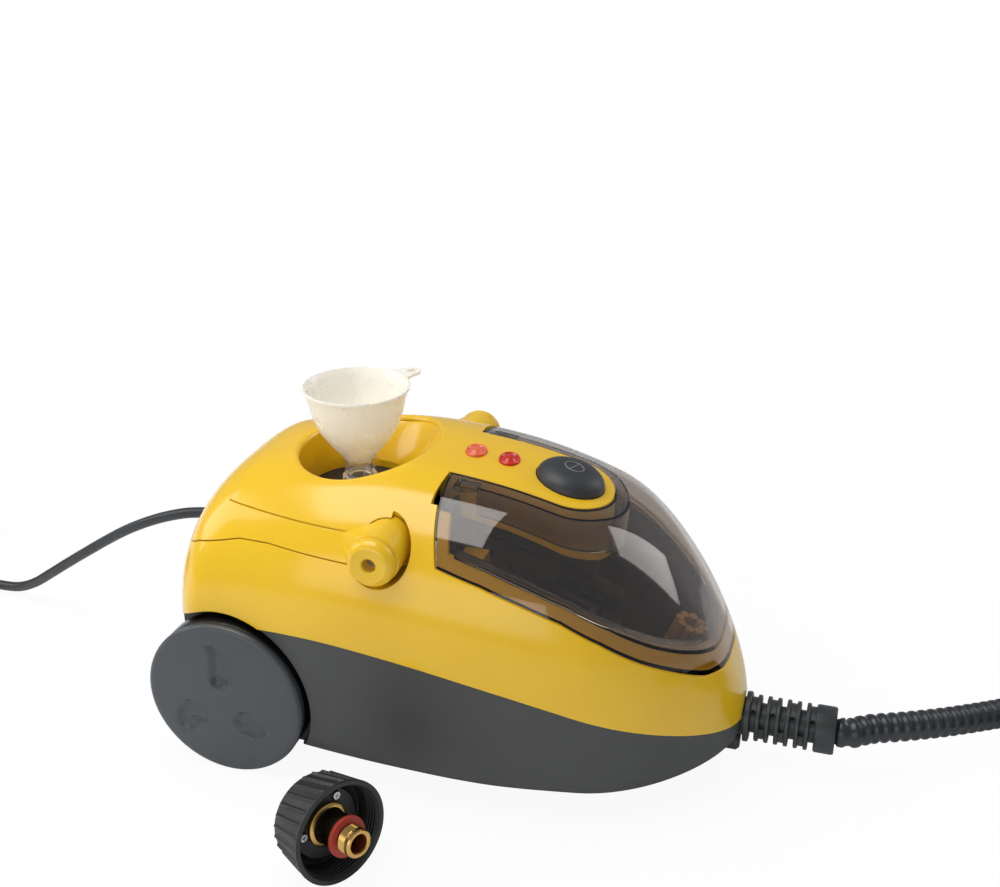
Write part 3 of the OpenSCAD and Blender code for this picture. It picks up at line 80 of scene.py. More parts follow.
def placeVertices(piece, points):
    piece.data.vertices.foreach_set("co", (np.asarray(points, dtype=np.float32) * mm).ravel())
    piece.data.update()


def closeMesh(piece):
    pick(piece)
    bpy.ops.object.mode_set(mode="EDIT")
    bpy.ops.mesh.select_all(action="SELECT")
    bpy.ops.mesh.remove_doubles(threshold=mergeReach)
    bpy.ops.mesh.delete_loose(use_verts=True, use_edges=True, use_faces=False)
    bpy.ops.mesh.select_all(action="SELECT")
    bpy.ops.mesh.normals_make_consistent(inside=False)
    bpy.ops.object.mode_set(mode="OBJECT")
    return piece


def laid(name, table):
    # a grid whose rows and columns are moved onto a table of points
    rows, columns = table.shape[:2]
    deselectAll()
    bpy.ops.mesh.primitive_grid_add(x_subdivisions=columns - 1, y_subdivisions=rows - 1, size=2)
    piece = named(name)
    start = np.empty(len(piece.data.vertices) * 3, dtype=np.float32)
    piece.data.vertices.foreach_get("co", start)
    start = start.reshape(-1, 3)
    column = np.rint((start[:, 0] + 1) / 2 * (columns - 1)).astype(int)
    row = np.rint((start[:, 1] + 1) / 2 * (rows - 1)).astype(int)
    placeVertices(piece, table[row, column])
    return piece


def wrapped(name, rings, capped=True):
    # rings of points, one after the other, with a point that closes each end
    rings = np.asarray(rings, float)
    if capped:
        first = np.repeat(rings[:1].mean(axis=1, keepdims=True), rings.shape[1], axis=1)
        last = np.repeat(rings[-1:].mean(axis=1, keepdims=True), rings.shape[1], axis=1)
        rings = np.concatenate([first, rings, last])
    else:
        rings = np.concatenate([rings, rings[:1]])
    rings = np.concatenate([rings, rings[:, :1]], axis=1)
    return closeMesh(laid(name, rings))


def turned(name, profile, steps=96, place=None):
    # a closed outline of (radius, height) spun about Z
    deselectAll()
    bpy.ops.mesh.primitive_circle_add(vertices=len(profile), radius=1, fill_type="NOTHING")
    piece = named(name)
    placeVertices(piece, [(r, 0, h) for r, h in profile])
    bpy.ops.object.mode_set(mode="EDIT")
    bpy.ops.mesh.select_all(action="SELECT")
    bpy.ops.mesh.spin(steps=steps, angle=2 * math.pi, center=(0, 0, 0), axis=(0, 0, 1))
    bpy.ops.object.mode_set(mode="OBJECT")
    closeMesh(piece)
    if place is not None:
        moved(piece, place)
    return piece


def moved(piece, place):
    # place is a matrix in millimetres
    place = place.copy()
    place.translation = place.translation * mm
    piece.data.transform(place)
    if place.determinant() < 0:
        closeMesh(piece)
    piece.data.update()
    return piece


def onSide(piece, side):
    # what is made for the left side, mirrored where it is for the right
    return moved(piece, Matrix.Scale(-1, 4, (0, 1, 0))) if side < 0 else piece


def towardsNose(x, y, z):
    # a place whose own Z runs along the housing
    return Matrix.Translation((x, y, z)) @ Matrix.Rotation(math.pi / 2, 4, "Y")


def roundBar(name, radius, low, high, sides=96, place=None):
    return turned(name, [(0, low), (radius, low), (radius, high), (0, high)], sides, place)


def extruded(name, outline, low, high, plane="xy"):
    # outline points lie in the plane named, and the piece runs from low to high across it
    deselectAll()
    bpy.ops.mesh.primitive_circle_add(vertices=len(outline), radius=1, fill_type="NGON")
    piece = named(name)
    where = {"xy": lambda a, b, c: (a, b, c), "xz": lambda a, b, c: (a, c, b)}[plane]
    placeVertices(piece, [where(a, b, low) for a, b in outline])
    bpy.ops.object.mode_set(mode="EDIT")
    bpy.ops.mesh.select_all(action="SELECT")
    step = Vector(where(0, 0, high - low)) * mm
    bpy.ops.mesh.extrude_region_move(TRANSFORM_OT_translate={"value": step})
    bpy.ops.object.mode_set(mode="OBJECT")
    return closeMesh(piece)


def slab(name, x0, x1, y0, y1, low, high):
    return extruded(name, [(x0, y0), (x1, y0), (x1, y1), (x0, y1)], low, high)


def hulled(name, points):
    # the tightest closed form round some points
    deselectAll()
    bpy.ops.mesh.primitive_circle_add(vertices=len(points), radius=1, fill_type="NOTHING")
    piece = named(name)
    placeVertices(piece, points)
    bpy.ops.object.mode_set(mode="EDIT")
    bpy.ops.mesh.select_all(action="SELECT")
    bpy.ops.mesh.convex_hull()
    bpy.ops.object.mode_set(mode="OBJECT")
    return closeMesh(piece)


def cut(target, cutter, how="DIFFERENCE"):
    # the solvers are tried in turn, until one changes the mesh
    before = len(target.data.vertices)
    for solver in ("MANIFOLD", "EXACT"):
        pick(target)
        change = target.modifiers.new("cut", "BOOLEAN")
        change.operation = how
        change.object = cutter
        change.solver = solver
        bpy.ops.object.modifier_apply(modifier=change.name)
        if len(target.data.vertices) != before:
            break
        print("  ", target.name, how.lower(), cutter.name, "left no mark with", solver)
    bpy.data.objects.remove(cutter)
    return target


def smooth(piece, angle=32):
    pick(piece)
    bpy.ops.object.shade_smooth_by_angle(angle=math.radians(angle))
    return piece


def polar(radius, degrees):
    angle = math.radians(degrees)
    return radius * math.cos(angle), radius * math.sin(angle)


def grown(points, distance):
    # the outline moved outwards by a distance, corners kept sharp
    points = np.asarray(points, float)
    after, before = np.roll(points, -1, axis=0), np.roll(points, 1, axis=0)
    area = np.sum(points[:, 0] * after[:, 1] - after[:, 0] * points[:, 1])
    side = 1 if area > 0 else -1

    def outward(a, b):
        d = b - a
        d = d / np.linalg.norm(d, axis=1, keepdims=True)
        return side * np.stack([d[:, 1], -d[:, 0]], axis=1)

    n0, n1 = outward(before, points), outward(points, after)
    mid = n0 + n1
    return points + mid * (distance * 2 / np.sum(mid * mid, axis=1, keepdims=True))


def rounded(points, radii, steps=6):
    # an outline with its corners turned to arcs
    points = [Vector((p[0], p[1])) for p in points]
    if not hasattr(radii, "__len__"):
        radii = [radii] * len(points)
    made = []
    for i, p in enumerate(points):
        a, b = points[i - 1] - p, points[(i + 1) % len(points)] - p
        half = a.angle(b) / 2
        reach = min(radii[i] / math.tan(half) if half > 1e-3 else 0, a.length * 0.49, b.length * 0.49)
        if radii[i] <= 0 or reach < 1e-4 or half > math.pi / 2 - 0.02:
            made.append(tuple(p))
            continue
        start, end = p + a.normalized() * reach, p + b.normalized() * reach
        radius = reach * math.tan(half)
        centre = p + (a.normalized() + b.normalized()).normalized() * (radius / math.sin(half))
        u, v = start - centre, end - centre
        sweep = u.angle_signed(v)
        for k in range(steps + 1):
            t = -sweep * k / steps
            c, s = math.cos(t), math.sin(t)
            made.append((centre.x + u.x * c - u.y * s, centre.y + u.x * s + u.y * c))
    return made


def sweepRings(path, radii, sides):
    # rings across a path, for wrapped()
    path = np.asarray(path, float)
    radii = np.broadcast_to(np.asarray(radii, float), (len(path),))
    ahead = np.gradient(path, axis=0)
    ahead /= np.linalg.norm(ahead, axis=1, keepdims=True)
    side = np.cross((0.0, 0.0, 1.0), ahead)
    side /= np.linalg.norm(side, axis=1, keepdims=True)
    over = np.cross(ahead, side)
    angle = np.linspace(0, 2 * math.pi, sides, endpoint=False)
    ringShape = np.cos(angle)[None, :, None] * side[:, None] - np.sin(angle)[None, :, None] * over[:, None]
    return path[:, None] + radii[:, None, None] * ringShape


def spline(points, steps):
    # a smooth line through every point
    points = np.asarray(points, float)
    made = []
    for i in range(len(points) - 1):
        a, b, c, d = (points[j] for j in (max(i - 1, 0), i, i + 1, min(i + 2, len(points) - 1)))
        for k in range(steps):
            t = k / steps
            made.append(0.5 * (2 * b + (c - a) * t + (2 * a - 5 * b + 4 * c - d) * t * t
                               + (3 * b - a - 3 * c + d) * t ** 3))
    made.append(points[-1])
    return np.array(made)


def walked(path, count):
    # the path in equal steps, and its length
    path = np.asarray(path, float)
    far = np.concatenate([[0], np.cumsum(np.linalg.norm(np.diff(path, axis=0), axis=1))])
    at = np.linspace(0, far[-1], count + 1)
    return np.stack([np.interp(at, far, path[:, c]) for c in range(3)], axis=1), far[-1]


def tone(red, green, blue):
    # a colour as seen, made linear
    seen = (red / 255, green / 255, blue / 255)
    return tuple(c / 12.92 if c <= 0.04 else ((c + 0.055) / 1.055) ** 2.4 for c in seen) + (1,)


# finishes
def blankMaterial(name):
    material = bpy.data.materials.new(name)
    material.use_nodes = True
    material.node_tree.nodes.clear()
    nodes, links = material.node_tree.nodes, material.node_tree.links
    output = nodes.new("ShaderNodeOutputMaterial")
    shader = nodes.new("ShaderNodeBsdfPrincipled")
    links.new(shader.outputs[0], output.inputs[0])
    return material, nodes, links, shader, output


def noiseOf(nodes, links, scale, detail):
    where = nodes.new("ShaderNodeTexCoord")
    noise = nodes.new("ShaderNodeTexNoise")
    noise.inputs["Scale"].default_value = scale
    noise.inputs["Detail"].default_value = detail
    links.new(where.outputs["Object"], noise.inputs["Vector"])
    return noise.outputs["Fac"]


def rangeOf(nodes, links, value, low, high, start=0.3, end=0.7):
    fit = nodes.new("ShaderNodeMapRange")
    fit.inputs["From Min"].default_value = start
    fit.inputs["From Max"].default_value = end
    fit.inputs["To Min"].default_value = low
    fit.inputs["To Max"].default_value = high
    links.new(value, fit.inputs["Value"])
    return fit.outputs["Result"]


def bumpOf(nodes, links, strength, distance, height):
    bump = nodes.new("ShaderNodeBump")
    bump.inputs["Strength"].default_value = strength
    bump.inputs["Distance"].default_value = distance
    links.new(height, bump.inputs["Height"])
    return bump


def blended(nodes, links, share, first, second):
    mix = nodes.new("ShaderNodeMixShader")
    links.new(share, mix.inputs["Fac"])
    links.new(first, mix.inputs[1])
    links.new(second, mix.inputs[2])
    return mix.outputs[0]


def lookersOf(nodes, links):
    # one for what is seen straight or through something clear, else nought
    ray = nodes.new("ShaderNodeLightPath")
    either = nodes.new("ShaderNodeMath")
    either.operation = "MAXIMUM"
    links.new(ray.outputs["Is Camera Ray"], either.inputs[0])
    links.new(ray.outputs["Is Transmission Ray"], either.inputs[1])
    return either.outputs[0]


def moulded(name, colour, deep, rough, grain=0.05, grainScale=900, wave=0.0, edge=0.0, coat=0.0, metallic=0.0):
    # moulded plastic or cast metal: slow drift of colour, uneven gloss, fine grain and soft edges
    material, nodes, links, shader, output = blankMaterial(name)
    drift = noiseOf(nodes, links, 16, 2)
    mix = nodes.new("ShaderNodeMix")
    mix.data_type = "RGBA"
    mix.inputs["A"].default_value = tone(*colour)
    mix.inputs["B"].default_value = tone(*deep)
    links.new(rangeOf(nodes, links, drift, 0, 1), mix.inputs["Factor"])
    links.new(mix.outputs["Result"], shader.inputs["Base Color"])
    links.new(rangeOf(nodes, links, noiseOf(nodes, links, 60, 4), rough[0], rough[1]), shader.inputs["Roughness"])
    shader.inputs["Metallic"].default_value = metallic
    shader.inputs["IOR"].default_value = 1.46
    shader.inputs["Coat Weight"].default_value = coat
    shader.inputs["Coat Roughness"].default_value = 0.08
    fine = bumpOf(nodes, links, grain, 0.2 * mm, noiseOf(nodes, links, grainScale, 2))
    last = fine
    if wave:
        last = bumpOf(nodes, links, wave, 1 * mm, noiseOf(nodes, links, 22, 1))
        links.new(fine.outputs["Normal"], last.inputs["Normal"])
    if edge:
        soft = nodes.new("ShaderNodeBevel")
        soft.samples = 6
        soft.inputs["Radius"].default_value = edge * mm
        links.new(soft.outputs["Normal"], fine.inputs["Normal"])
    links.new(last.outputs["Normal"], shader.inputs["Normal"])
    return material


def glassy(name, tint, shadowTint, rough, transmission):
    # clear moulded plastic: lets plain light through in its shadow
    material, nodes, links, shader, output = blankMaterial(name)
    shader.inputs["Base Color"].default_value = (*tint, 1)
    shader.inputs["Transmission Weight"].default_value = transmission
    shader.inputs["IOR"].default_value = 1.49
    uneven = rangeOf(nodes, links, noiseOf(nodes, links, 40, 3), rough * 0.6, rough * 1.5)
    links.new(uneven, shader.inputs["Roughness"])
    clear = nodes.new("ShaderNodeBsdfTransparent")
    clear.inputs["Color"].default_value = (*shadowTint, 1)
    ray = nodes.new("ShaderNodeLightPath")
    mixed = blended(nodes, links, ray.outputs["Is Shadow Ray"], shader.outputs[0], clear.outputs[0])
    links.new(mixed, output.inputs[0])
    return material


# colour, second colour, least and most roughness, and the rest
mouldedSet = {
    "yellowGloss": ((231, 186, 32), (227, 181, 30), (0.16, 0.22),
                    {"grain": 0.02, "grainScale": 1400, "wave": 0.03, "edge": 0.7, "coat": 0.15}),
    "yellowPlain": ((229, 184, 32), (222, 176, 28), (0.28, 0.36), {"grain": 0.06, "edge": 0.5}),
    "greySatin": ((66, 67, 65), (62, 63, 61), (0.42, 0.5), {"grain": 0.16, "grainScale": 1500, "edge": 0.6}),
    "coverSlate": ((70, 73, 76), (66, 69, 72), (0.3, 0.4), {"grain": 0.1, "grainScale": 1600, "edge": 0.5}),
    "guardSlate": ((50, 52, 53), (44, 46, 47), (0.36, 0.46), {"grain": 0.12, "edge": 0.4}),
    "blackSatin": ((34, 34, 35), (30, 30, 31), (0.4, 0.52), {"grain": 0.14, "edge": 0.5}),
    "blackRubber": ((30, 30, 30), (24, 24, 24), (0.55, 0.68), {"grain": 0.25, "grainScale": 1100}),
    "capSlate": ((36, 37, 37), (31, 32, 32), (0.38, 0.5), {"grain": 0.14, "edge": 0.4}),
    "buttonBlack": ((50, 51, 52), (44, 45, 46), (0.42, 0.5), {"grain": 0.12, "edge": 0.4}),
    "hoseBlack": ((46, 48, 51), (36, 38, 40), (0.26, 0.4), {"grain": 0.06}),
    "cordBlack": ((40, 43, 45), (34, 36, 38), (0.34, 0.44), {"grain": 0.1}),
    "plainSteel": ((190, 192, 194), (168, 170, 172), (0.2, 0.36), {"grain": 0.06, "metallic": 1.0}),
    "brass": ((214, 176, 104), (190, 148, 82), (0.2, 0.34), {"grain": 0.06, "metallic": 1.0}),
    "darkBrass": ((120, 104, 78), (82, 70, 56), (0.24, 0.4), {"grain": 0.06, "metallic": 1.0}),
    "redRubber": ((176, 62, 44), (150, 48, 36), (0.5, 0.6), {"grain": 0.15}),
    "tyreBlack": ((20, 20, 19), (15, 15, 14), (0.22, 0.34), {"grain": 0.08, "edge": 0.5}),
    "markGrey": ((112, 113, 114), (100, 101, 102), (0.4, 0.5), {"grain": 0.05}),
    "brassBore": ((190, 110, 60), (150, 80, 44), (0.3, 0.45), {"grain": 0.06, "metallic": 0.8}),
    "bristleTan": ((196, 156, 92), (150, 112, 62), (0.55, 0.7), {"grain": 0.3}),
}
# colour, colour of its shadow, roughness and share of light let through
glassySet = {
    "milkyFunnel": ((0.9, 0.87, 0.79), (0.8, 0.79, 0.76), 0.3, 0.3),
    "clearNeck": ((0.95, 0.95, 0.93), (0.9, 0.9, 0.9), 0.08, 0.95),
    "smokedClear": ((0.5, 0.45, 0.4), (0.55, 0.5, 0.45), 0.012, 1.0),
    "milkyClear": ((0.93, 0.92, 0.88), (0.85, 0.85, 0.83), 0.3, 0.75),
    "redLamp": ((0.8, 0.05, 0.03), (0.7, 0.1, 0.05), 0.06, 0.55),
    "orangeLamp": ((0.9, 0.22, 0.1), (0.8, 0.25, 0.12), 0.1, 0.4),
}
finishes = {name: moulded(name, *values[:3], **values[3]) for name, values in mouldedSet.items()}
finishes.update({name: glassy(name, *values) for name, values in glassySet.items()})


def finished(piece, finish, body, slot, *nodes):
    piece.data.materials.clear()
    piece.data.materials.append(finishes[finish])
    if nodes:
        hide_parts(*nodes)
    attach(piece, body)
    return piece


print("finishes made")

# outline of the housing, as shares of its length and size
housing = {
    "length": 391, "rear": -60, "width": 229, "height": 209, "seam": 113, "floorGap": 6, "wall": 2.6,
    "topPower": 1.95, "sidePower": 3.1, "keelPower": 6, "rearRound": 40, "rearPower": 2.1, "noseRound": 98,
    "nosePower": 2.12, "topRearRound": 56, "topNoseRound": 103, "topEndPower": 1.92,
    "widths": [(0, 0.88), (0.153, 0.92), (0.307, 0.98), (0.46, 1), (0.614, 0.98), (0.767, 0.885), (0.895, 0.755),
               (1, 0.63)],
    "seams": [(0, 0.86), (0.153, 0.955), (0.307, 1), (0.46, 0.96), (0.614, 0.863), (0.767, 0.704), (0.895, 0.527),
              (1, 0.36)],
    "tops": [(0, 0.88), (0.153, 0.947), (0.269, 0.981), (0.384, 1), (0.512, 0.986), (0.639, 0.947), (0.767, 0.876),
             (0.895, 0.751), (1, 0.612)],
    "keels": [(0, 14), (0.153, 9), (0.307, 7), (0.46, 6), (0.614, 6), (0.767, 8), (0.895, 8), (1, 9)],
    "stations": 150, "steps": 110, "finest": 1601,
}
noseX = housing["rear"] + housing["length"]
midX = (housing["rear"] + noseX) / 2


def curveAt(points, s):
    # a smooth curve through the shares
    s = min(max(s, 0), 1)
    i = 0
    while i < len(points) - 2 and s >= points[i + 1][0]:
        i += 1

    def slope(j):
        a, b = points[max(j - 1, 0)], points[min(j + 1, len(points) - 1)]
        return (b[1] - a[1]) / (b[0] - a[0])

    h = points[i + 1][0] - points[i][0]
    t = (s - points[i][0]) / h
    return ((2 * t ** 3 - 3 * t ** 2 + 1) * points[i][1] + (t ** 3 - 2 * t ** 2 + t) * h * slope(i)
            + (3 * t ** 2 - 2 * t ** 3) * points[i + 1][1] + (t ** 3 - t ** 2) * h * slope(i + 1))


def endShare(distance, length, power):
    return (1 - min(max((length - distance) / length, 0), 1) ** power + 1e-6) ** (1 / power)


def shareAt(x):
    return (x - housing["rear"]) / housing["length"]


def endsAt(x):
    return (endShare(x - housing["rear"], housing["rearRound"], housing["rearPower"])
            * endShare(noseX - x, housing["noseRound"], housing["nosePower"]))


def halfWidth(x):
    return housing["width"] / 2 * curveAt(housing["widths"], shareAt(x)) * endsAt(x)


def seamHeight(x):
    return housing["seam"] * curveAt(housing["seams"], shareAt(x))


def topHeight(x):
    z = seamHeight(x)
    return z + ((housing["height"] * curveAt(housing["tops"], shareAt(x)) - z)
                * endShare(x - housing["rear"], housing["topRearRound"], housing["topEndPower"])
                * endShare(noseX - x, housing["topNoseRound"], housing["topEndPower"]))


def keelHeight(x):
    z = seamHeight(x)
    return z - (z - curveAt(housing["keels"], shareAt(x)) - housing["floorGap"] + 6) * endsAt(x) ** 0.7


def sideReach(x, z):
    share = min((z - seamHeight(x)) / (topHeight(x) - seamHeight(x)), 1)
    return halfWidth(x) * (1 - max(share, 0) ** housing["topPower"]) ** (1 / housing["sidePower"])


def surfaceHeight(x, y):
    share = min(abs(y) / max(halfWidth(x), 0.01), 1)
    rise = (1 - share ** housing["sidePower"]) ** (1 / housing["topPower"])
    return seamHeight(x) + (topHeight(x) - seamHeight(x)) * rise


def topSlope(x):
    return math.atan((topHeight(x + 2) - topHeight(x - 2)) / 4)


def onTop(x):
    return Matrix.Translation((x, 0, topHeight(x))) @ Matrix.Rotation(-topSlope(x), 4, "Y")


stationCount = housing["stations"]
stations = [midX - (housing["length"] / 2 - 0.05) * math.cos(math.pi * i / stationCount)
            for i in range(stationCount + 1)]
stationValues = [(x, halfWidth(x), seamHeight(x), topHeight(x), keelHeight(x)) for x in stations]
dense = np.linspace(0, math.pi, housing["finest"])


def evenly(y, z, count):
    far = np.concatenate([[0], np.cumsum(np.hypot(np.diff(y), np.diff(z)))])
    at = np.linspace(0, far[-1], count + 1)
    return np.interp(at, far, y), np.interp(at, far, z)


def sections(name, inset, sectionAt):
    # one closed section at each station, drawn in at the ends by the inset
    rings = []
    for x, width, seam, top, keel in stationValues:
        y, z = sectionAt(width, seam, top, keel)
        x = midX + (x - midX) * (housing["length"] - 2 * inset) / housing["length"]
        rings.append(np.stack([np.full_like(y, x), y, z], axis=1))
    return wrapped(name, rings)


def upperForm(name, inset=0.0, drop=0.0):
    # the part over the seam, moved inwards by the inset and run on below the seam by the drop
    def sectionAt(w, s, t, k):
        w, h = max(w - inset, 0.05), max(t - inset - s, 0.05)
        c, n = np.cos(dense), np.sin(dense)
        y = -w * np.sign(c) * np.abs(c) ** (2 / housing["sidePower"])
        z = s + h * np.abs(n) ** (2 / housing["topPower"])
        y, z = evenly(y, z, housing["steps"])
        if drop:
            y = np.concatenate([y, [w, -w]])
            z = np.concatenate([z, [s - drop, s - drop]])
        return y, z

    return sections(name, inset, sectionAt)


def lowerForm(name, inset=0.0, rise=0.0):
    # the part under the seam, run on above it by the rise
    def sectionAt(w, s, t, k):
        w, d = max(w - 1 - inset, 0.05), max(s - k - inset, 0.05)
        u = dense / math.pi * 2
        near = np.where(u <= 1, u, 2 - u)
        a = math.pi / 2 * near ** 3 / (near ** 3 + (1 - near) ** 3)
        a = np.where(u <= 1, a, math.pi - a)
        c, n = np.cos(a), np.sin(a)
        y = w * np.sign(c) * np.abs(c) ** (2 / housing["keelPower"])
        z = s - d * np.abs(n) ** (2 / housing["keelPower"])
        y, z = evenly(y, z, housing["steps"] + 30)
        if rise:
            y = np.concatenate([[-w, w], y])
            z = np.concatenate([[s + rise, s + rise], z])
        return y, z

    return sections(name, inset, sectionAt)


def lying(name, radius, y0, y1, x, z, sides=96):
    # a round bar across the machine
    place = Matrix.Translation((x, y0, z)) @ Matrix.Rotation(-math.pi / 2, 4, "X")
    return roundBar(name, radius, 0, y1 - y0, sides, place)


print("housing outline ready")

# cords come first
cordSet = {
    "route": [(-64, 5, 127), (-72, 5, 127), (-92, 6, 123), (-118, 9, 113), (-145, 13, 99), (-170, 18, 83),
              (-196, 23, 65), (-220, 28, 48), (-242, 33, 32), (-262, 38, 18), (-282, 42, 8.5), (-304, 45, 5),
              (-340, 47, 4.2), (-380, 48, 4.2), (-410, 48, 4.2), (-420, 48, 4.2)],
    "centre": (-420, 98), "radius": 50, "turns": 1.875, "pitch": 9.6, "layer": 9.2, "total": 9, "start": -90,
    "low": 4.2, "thick": 8, "tailX": -520, "tailZ": 18,
}
hoseSet = {
    "route": [(391, 0, 34.5), (400, 0.4, 34.5), (413, 10, 34), (435, 22, 32.5), (458, 37, 30), (482, 55, 27),
              (505, 76, 22.5), (526, 99, 18), (547, 124, 14.2), (569, 147, 11.8), (594, 167, 10.6), (624, 181, 10.4),
              (662, 188, 10.4)],
    "centre": (662, 70), "radius": 118, "turns": 1, "pitch": 24, "layer": 22, "total": 2.25, "start": 90,
    "low": 10.4, "thick": 20, "tailY": -74, "tailZ": 20, "ribPitch": 7.6, "ribDepth": 1.7, "sides": 22,
    "ribShape": [(0.0, 0.0), (0.16, 0.25), (0.3, 0.8), (0.41, 1.0), (0.5, 0.9), (0.59, 1.0), (0.7, 0.8), (0.84, 0.25)],
}


def coilPoint(t, coil):
    # each layer takes its turns, then climbs to the next one in half a turn
    perLayer = coil["turns"] + 0.5
    layer = max(math.ceil(t / perLayer) - 1, 0)
    t0 = t - layer * perLayer
    inTurn, climb = min(t0, coil["turns"]), max(t0 - coil["turns"], 0) / 0.5
    inward = layer % 2 == 0
    a = math.radians(coil["start"] - 360 * t)
    r = coil["radius"] - coil["pitch"] * (inTurn if inward else coil["turns"] - inTurn)
    return (coil["centre"][0] + r * math.cos(a), coil["centre"][1] + r * math.sin(a),
            coil["low"] + coil["layer"] * (layer + climb))


def wound(coil, steps, tailWay, tailReach):
    points = [coilPoint(i / steps, coil) for i in range(round(coil["total"] * steps) + 1)]
    last = np.array(points[-1])
    for i in range(1, 9):
        t = i / 8
        fall = np.array([0, 0, (coil["tailZ"] - last[2]) * (3 * t * t - 2 * t ** 3)])
        points.append(tuple(last + np.array(tailWay) * tailReach(last) * t + fall))
    return points


cordPath = np.concatenate([spline(cordSet["route"], 4)[:-1],
                           wound(cordSet, 24, (-1, 0, 0), lambda p: p[0] - cordSet["tailX"])])
deselectAll()
bpy.ops.curve.primitive_nurbs_path_add()
mainsCord = named("mainsCord")
mainsCord.data.splines.clear()
line = mainsCord.data.splines.new("POLY")
line.points.add(len(cordPath) - 1)
for point, at in zip(line.points, cordPath):
    point.co = (at[0] * mm, at[1] * mm, at[2] * mm, 1)
mainsCord.data.dimensions = "3D"
mainsCord.data.bevel_depth = cordSet["thick"] / 2 * mm
mainsCord.data.bevel_resolution = 6
mainsCord.data.use_fill_caps = True
finished(mainsCord, "cordBlack", "housing", "cord_rubber", "mains_cord", "mains_coil")

hosePath = np.concatenate([spline(hoseSet["route"], 6)[:-1],
                           wound(hoseSet, 24, (0, -1, 0), lambda p: p[1] - hoseSet["tailY"])])
hoseLong = walked(hosePath, 10)[1]
ribs = round(hoseLong / hoseSet["ribPitch"])
ribShape = hoseSet["ribShape"]
perRib = len(ribShape)
centres, hoseLong = walked(hosePath, ribs * perRib)
tuckIn = hoseSet["thick"] / 2 - hoseSet["ribDepth"]
radii = [tuckIn + hoseSet["ribDepth"] * ribShape[i % perRib][1] for i in range(len(centres))]
# stations are moved to the rib's own spacing
alongHose = np.array([(i // perRib + ribShape[i % perRib][0]) / ribs for i in range(len(centres))]).clip(0, 1)
spread = np.linspace(0, 1, len(centres))
hoseLine = np.stack([np.interp(alongHose, spread, centres[:, c]) for c in range(3)], axis=1)
steamHose = wrapped("steamHose", sweepRings(hoseLine, radii, hoseSet["sides"]))
smooth(steamHose, 60)
finished(steamHose, "hoseBlack", "housing", "hose_rubber", "steam_hose", "hose_coil")
print("cords laid,", round(hoseLong), "mm of hose")

# upper body
handleSet = {"pivotX": 107.5, "pivotZ": 173.5, "armHalf": 8.5, "depth": 9, "gap": 0.8, "skin": 3.4, "frontX": -8,
             "hubSpace": 15, "boreR": 16.9, "boreY": 73.5, "pocketR": 20, "pocketY": 75}
pivotX, pivotZ, armHalf = handleSet["pivotX"], handleSet["pivotZ"], handleSet["armHalf"]
handleOutline = [
    (pivotX, pivotZ - armHalf), (60, pivotZ - 7), (30, pivotZ - 6), (8, pivotZ - 7.5), (-24, pivotZ - 16),
    (-50, pivotZ - 30), (housing["rear"] - 20, pivotZ - 36), (housing["rear"] - 20, 400),
    (handleSet["frontX"] + 25, 400),
    (handleSet["frontX"], pivotZ + 15), (handleSet["frontX"] + 5, pivotZ + armHalf), (pivotX, pivotZ + armHalf)]
lidSet = {"x": 134, "wall": 2.4, "gap": 0.9, "shelf": 6, "spineHalf": 34, "spineEnd": 234, "spineDepth": 30,
          "hinge": (142, 199.37), "swingR": 10.8, "swingHalf": 66, "trayHalf": 75.2, "switchX": 205}
# places and sizes in the shells, which what sits in them uses too
bodySet = {"below": -10, "above": 400, "across": 200, "lap": 0.3, "axleZ": 56, "wheelR": 60.5, "wheelFrom": 86,
           "archR": 63.1, "archFrom": 83.4, "outletZ": 34.5, "outletBore": 13.1, "guardBore": 17.5, "cupR": 26.1,
           "switchR": 23.5, "lampXs": (140, 163), "lampR": 9.7, "lampShare": 0.72, "cordHole": (-61, 5, 127),
           "cordHoleR": 7, "ledgeDeep": 8, "ledgeRear": 11, "castorX": 268, "socketWall": 28.6, "socketR": 26,
           "stemR": 4.1, "collarR": 18.6, "axleR": 4.1, "screwXs": (-34, 104, 232), "screwIn": 21, "screwR": 4.6}
lidX = lidSet["x"]
lidOutline = [
    (lidX, 400), (lidX, 206), (lidX + 11, 169), (173, 161), (198, 152), (223, 142), (247, 129), (270, 114), (293, 100),
    (307, 91), (316, 87.5), (noseX + 20, 87), (noseX + 20, 400)]
lidDepth = lidSet["wall"] + lidSet["gap"]


def spinePlan(grow=0.0):
    half, end, x0 = lidSet["spineHalf"], lidSet["spineEnd"], lidSet["switchX"]
    points = [(lidX - 8, -half)]
    points += [(x0 + polar(end - x0, a)[0], polar(half, a)[1]) for a in range(-90, 91, 3)]
    points += [(lidX - 8, half)]
    return [tuple(p) for p in grown(points, grow)] if grow else points


def zone(name, outline, grow=0.0):
    return extruded(name, [tuple(p) for p in grown(outline, grow)], -200, 200, "xz")


def spineColumn(name, grow=0.0):
    return extruded(name, spinePlan(grow), bodySet["below"], bodySet["above"])


def between(name, x0, x1):
    return slab(name, x0, x1, -bodySet["across"], bodySet["across"], bodySet["below"], bodySet["above"])


def cutWheelSpace(shell, side):
    space = lying("wheelSpace", bodySet["wheelR"], bodySet["wheelFrom"], 200, 0, bodySet["axleZ"], 160)
    return cut(shell, onSide(space, side))


def handleCore(name, depth, gap):
    core = upperForm(name, depth + gap, 8)
    xs = [handleSet["frontX"] + 5 * i for i in range(int((pivotX + 20 - handleSet["frontX"]) / 5) + 1)]
    near = [(x, sideReach(x, pivotZ + armHalf) + 0.5 - gap) for x in xs]
    block = extruded("coreBlock", near + [(x, -y) for x, y in reversed(near)], -10, 400)
    return cut(core, block, "UNION")


def lampPlace(x):
    return onTop(x) @ Matrix.Diagonal((bodySet["lampShare"], 1, 1, 1))


